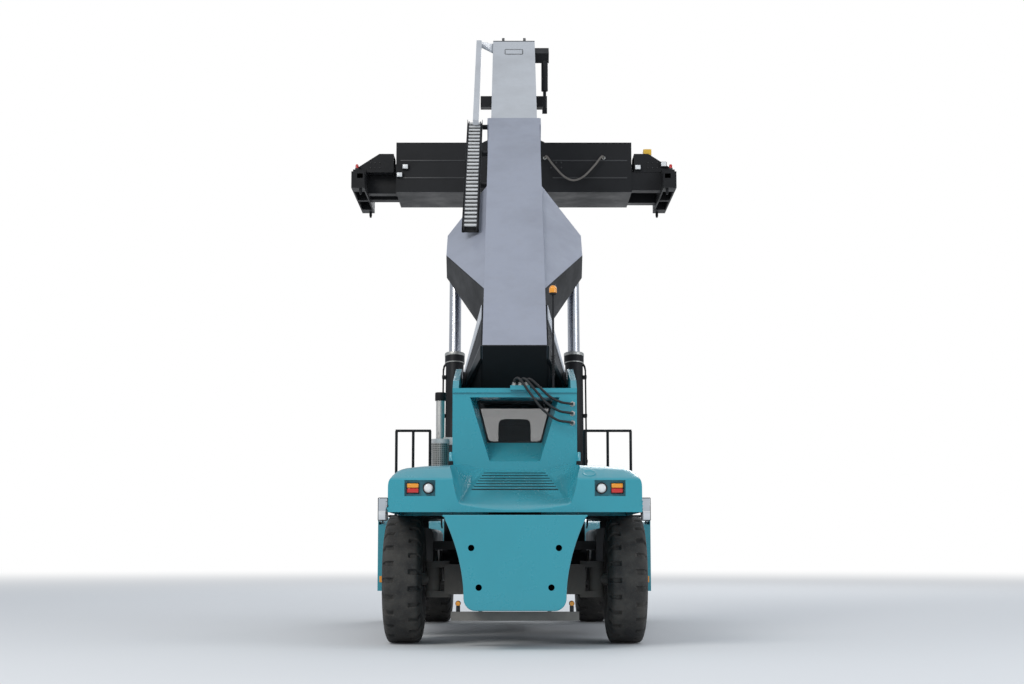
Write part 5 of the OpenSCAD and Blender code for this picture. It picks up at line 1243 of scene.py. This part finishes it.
def on_cylinder(p, s):
    """Points (x, y, l) with l along the cylinder: y and l are turned by the lean, and x goes to
    side s."""
    p = np.asarray(p, float)
    c, n = math.cos(LIFT_LEAN), math.sin(LIFT_LEAN)
    x, y, l = p[..., 0], p[..., 1], p[..., 2]
    return np.stack([s * (LIFT_BASE[0] + x), LIFT_BASE[1] + y * c + l * n,
                     LIFT_BASE[2] - y * n + l * c], -1)


for s, word in SIDES:
    rings, pipes = Pile(), Pile()
    rings.turn([(BARREL_L, 0.092), (BARREL_L + 0.012, 0.094), (BARREL_L + 0.012, 0.150),
                (BARREL_L, 0.1535), (BARREL_L - 0.030, 0.1535), (BARREL_L - 0.036, 0.150)], 48,
               "z")
    rings.turn([(2.962, 0.134), (2.960, 0.147), (2.974, 0.1515)], 48, "z")
    turn = np.arange(12) * np.pi / 6
    heads = [GLAND_R * np.cos(turn), GLAND_R * np.sin(turn), np.full(12, BARREL_L + 0.012)]
    rings.repeat(bolt("z", 0.012, 0.010), np.stack(heads, -1))
    for y in (-0.030, 0.024):
        pipes.bar([(0.162, y, 0.45), (0.172, y, 0.50), (0.172, y, 2.86), (0.160, y, 2.92),
                   (0.140, y, 2.95)], 0.012, 10)
    for l in (0.75, 1.45, 2.15, 2.75):
        pipes.box((0.128, -0.055, l - 0.022), (0.190, 0.050, l + 0.022), 0.006)
    for pile in (rings, pipes):
        pile.moved(lambda p: on_cylinder(p, s))
    piece(rings, f"gland_ring_{word}", f"lift_barrel_{word}", "zinc")
    piece(pipes, f"barrel_pipes_{word}", f"lift_barrel_{word}", "black")
print("cylinders fitted")

# %% [markdown]
# ## Tower fittings
# A black rubber seal runs round the window, hoses end in hexagon fittings on a plate,
# and black sleeves in the counterweight's four holes paint the shade inside them.

# %% Seal, fittings and painted shade in the holes
FUNNEL_END_Y = from_axle(0.781)
seal, fittings, spreader_fittings, painted_shade_sleeves = Pile(), Pile(), Pile(), Pile()
seal.ring(loop_tube([(-0.362, FUNNEL_END_Y, 2.612), (0.362, FUNNEL_END_Y, 2.612),
                     (0.505, FUNNEL_END_Y, 3.176), (-0.505, FUNNEL_END_Y, 3.176)], 0.07, 0.020,
                    (0, 1, 0)))
piece(seal, "window_seal", "root", "seal")
for z in (3.090, 2.965, 2.840):
    fittings.turn([(0.2500, 0), (0.2500, 0.038), (0.2400, 0.038), (0.2400, 0.028),
                   (0.2150, 0.028), (0.2100, 0.019), (0.1950, 0.019), (0.1950, 0)], 6, "y",
                  (0.76, REAR_AXLE_Y, z))
for x in (0.150, 0.070, -0.010):
    fittings.turn([(3.330, 0), (3.330, 0.030), (3.352, 0.030), (3.356, 0.021), (3.372, 0.021),
                   (3.372, 0)], 6, "z", (x, from_axle(0.180), 0))
for x in (0.600, 1.740):
    spreader_fittings.turn([(-0.7366, 0), (-0.7366, 0.036), (-0.760, 0.036), (-0.764, 0.024),
                            (-0.785, 0.024), (-0.785, 0)], 6, "y", (x, HEAD_Y, 8.690))
piece(fittings, "hose_fittings", "root", "zinc")
piece(spreader_fittings, "spreader_hose_fittings", "spreader", "zinc")
# Black sleeves in the counterweight's four holes paint the shade inside them.
for x, z in CW_HOLES:
    painted_shade_sleeves.turn([(-1.7499, 0.0376), (-1.7499, 0.0379), (-1.7480, 0.0379), (-1.7480, 0.0372),
                 (-1.6310, 0.0372), (-1.6310, 0)], 40, "y", (x, REAR_AXLE_Y, z))
piece(painted_shade_sleeves, "counterweight_hole_painted_shade_sleeves", "root", "seal")
print("tower fitted")

# %% [markdown]
# ## Spreader fittings
# Work lamps, a signal lamp at each end, a yellow box and rows of bolts sit on the
# spreader. Each piece is made on the body that carries it.

# %% Spreader lamps and boxes
SPREADER_BACK = HEAD_Y - 0.736
shell, glow, box, ledges = Pile(), Pile(), Pile(), Pile()


def work_lamp(shell, glow, x, back, z):
    """A square work lamp on a face that looks back: its shell, and its lens in front."""
    shell.box((x - 0.060, back - 0.075, z - 0.050), (x + 0.060, back - 0.0005, z + 0.050), 0.012)
    glow.box((x - 0.050, back - 0.081, z - 0.041), (x + 0.050, back - 0.066, z + 0.041), 0.006)


for x, z in ((-2.21, 8.350), (-2.10, 8.510)):
    work_lamp(shell, glow, x, SPREADER_BACK, z)
for z in (8.300, 8.640):
    for x0, x1 in ((-2.20, -0.75), (0.75, 2.20)):
        ledges.box((x0, SPREADER_BACK - 0.012, z - 0.014),
                   (x1, SPREADER_BACK - 0.0005, z + 0.014), 0.005)
places = [(s * (0.72 + 0.10 * i), SPREADER_BACK - 0.0005, 8.50 + 0.10 * j)
          for s in (-1, 1) for i in range(3) for j in range(2)]
ledges.repeat(bolt("y", 0.018, -0.014), places)
piece(ledges, "beam_ledges_and_bolts", "spreader", "frame")
piece(shell, "beam_lamp_shells", "spreader", "plastic")
piece(glow, "beam_lamp_lenses", "spreader", "clear")
END_BACK = HEAD_Y - 1.22
for s, word in SIDES:
    body = f"spreader_end_{word}"
    stand, light, colour = Pile(), Pile(), Pile()
    x = s * 3.030
    stand.box((x - 0.035, END_BACK + 0.36, 8.430), (x + 0.035, END_BACK + 0.44, 8.470), 0.005)
    colour.turn([(8.470, 0), (8.470, 0.030), (8.520, 0.032), (8.545, 0.022), (8.550, 0)], 28, "z",
                (x, END_BACK + 0.40, 0))
    stand.box((s * 2.870, END_BACK, 8.180), (s * 3.000, END_BACK + 0.04, 8.290), 0.010)
    light.box((s * 2.882, END_BACK, 8.192), (s * 2.988, END_BACK + 0.005, 8.278), 0.002)
    places = [(s * (2.60 + 0.09 * i), HEAD_Y - 0.7200, 8.50 + 0.10 * j)
              for i in range(3) for j in range(2)]
    stand.repeat(bolt("y", 0.016, -0.014), places)
    if s == 1:
        for x, z in ((2.400, 8.500), (2.900, 8.560)):
            work_lamp(stand, light, x, HEAD_Y - 0.7200, z)
    piece(stand, f"end_lamp_stand_{word}", body, "plastic")
    piece(light, f"end_lamp_lens_{word}", body, "clear")
    piece(colour, f"end_signal_{word}", body, "red")
box.box((2.520, HEAD_Y - 0.62, 8.7805), (2.680, HEAD_Y - 0.46, 8.900), 0.012)
piece(box, "yellow_junction_box", "spreader_end_right", "yellow")
print("spreader fitted")

# %% [markdown]
# ## Doors
# Each door has a pane in a rubber frame and a pull handle. They ride on the door, so
# that they swing with it.

# %% Door panes and handles
for s, word in SIDES:
    pane, frame_seal, handle = Pile(), Pile(), Pile()
    x, hinge_y, lock_y, handle_y = s * 0.700, from_axle(2.172), from_axle(2.628), from_axle(2.670)
    pane.box((x - 0.003, from_axle(2.168), 2.358), (x + 0.003, from_axle(2.632), 3.262), 0.0028)
    corners = [(x, hinge_y, 2.362), (x, lock_y, 2.362), (x, lock_y, 3.258), (x, hinge_y, 3.258)]
    frame_seal.ring(loop_tube(corners, 0.05, 0.012, (1, 0, 0)))
    handle.bar([(s * 0.724, handle_y, 2.60), (s * 0.752, handle_y, 2.62),
                (s * 0.756, handle_y, 2.66), (s * 0.756, handle_y, 2.84),
                (s * 0.752, handle_y, 2.88), (s * 0.724, handle_y, 2.90)], 0.009)
    piece(pane, f"door_pane_{word}", f"door_{word}", "glass")
    piece(frame_seal, f"door_seal_{word}", f"door_{word}", "seal")
    piece(handle, f"door_handle_{word}", f"door_{word}", "zinc")
print("doors glazed")

# %% [markdown]
# ## Markers on fenders and frame
# An amber marker sits low on each front fender's rear edge, and two small lamps stand
# on the bar under the frame.

# %% Markers
markers, feet = Pile(), Pile()
for s in (-1, 1):
    markers.box((s * 2.090, from_axle(5.104), 0.655), (s * 2.150, from_axle(5.1185), 0.755), 0.004)
    feet.box((s * 0.675, from_axle(-0.905), 0.430), (s * 0.725, from_axle(-0.855), 0.500), 0.005)
    markers.turn([(-0.925, 0), (-0.925, 0.026), (-0.912, 0.030), (-0.900, 0.030), (-0.900, 0)],
                 24, "y", (s * 0.700, REAR_AXLE_Y, 0.530))
    feet.tube(closed(turned([(-0.905, 0.034), (-0.860, 0.034)], 24, "y",
                            (s * 0.700, REAR_AXLE_Y, 0.530))))
piece(markers, "amber_markers", "root", "amber")
piece(feet, "marker_feet", "root", "plastic")
print("markers set")
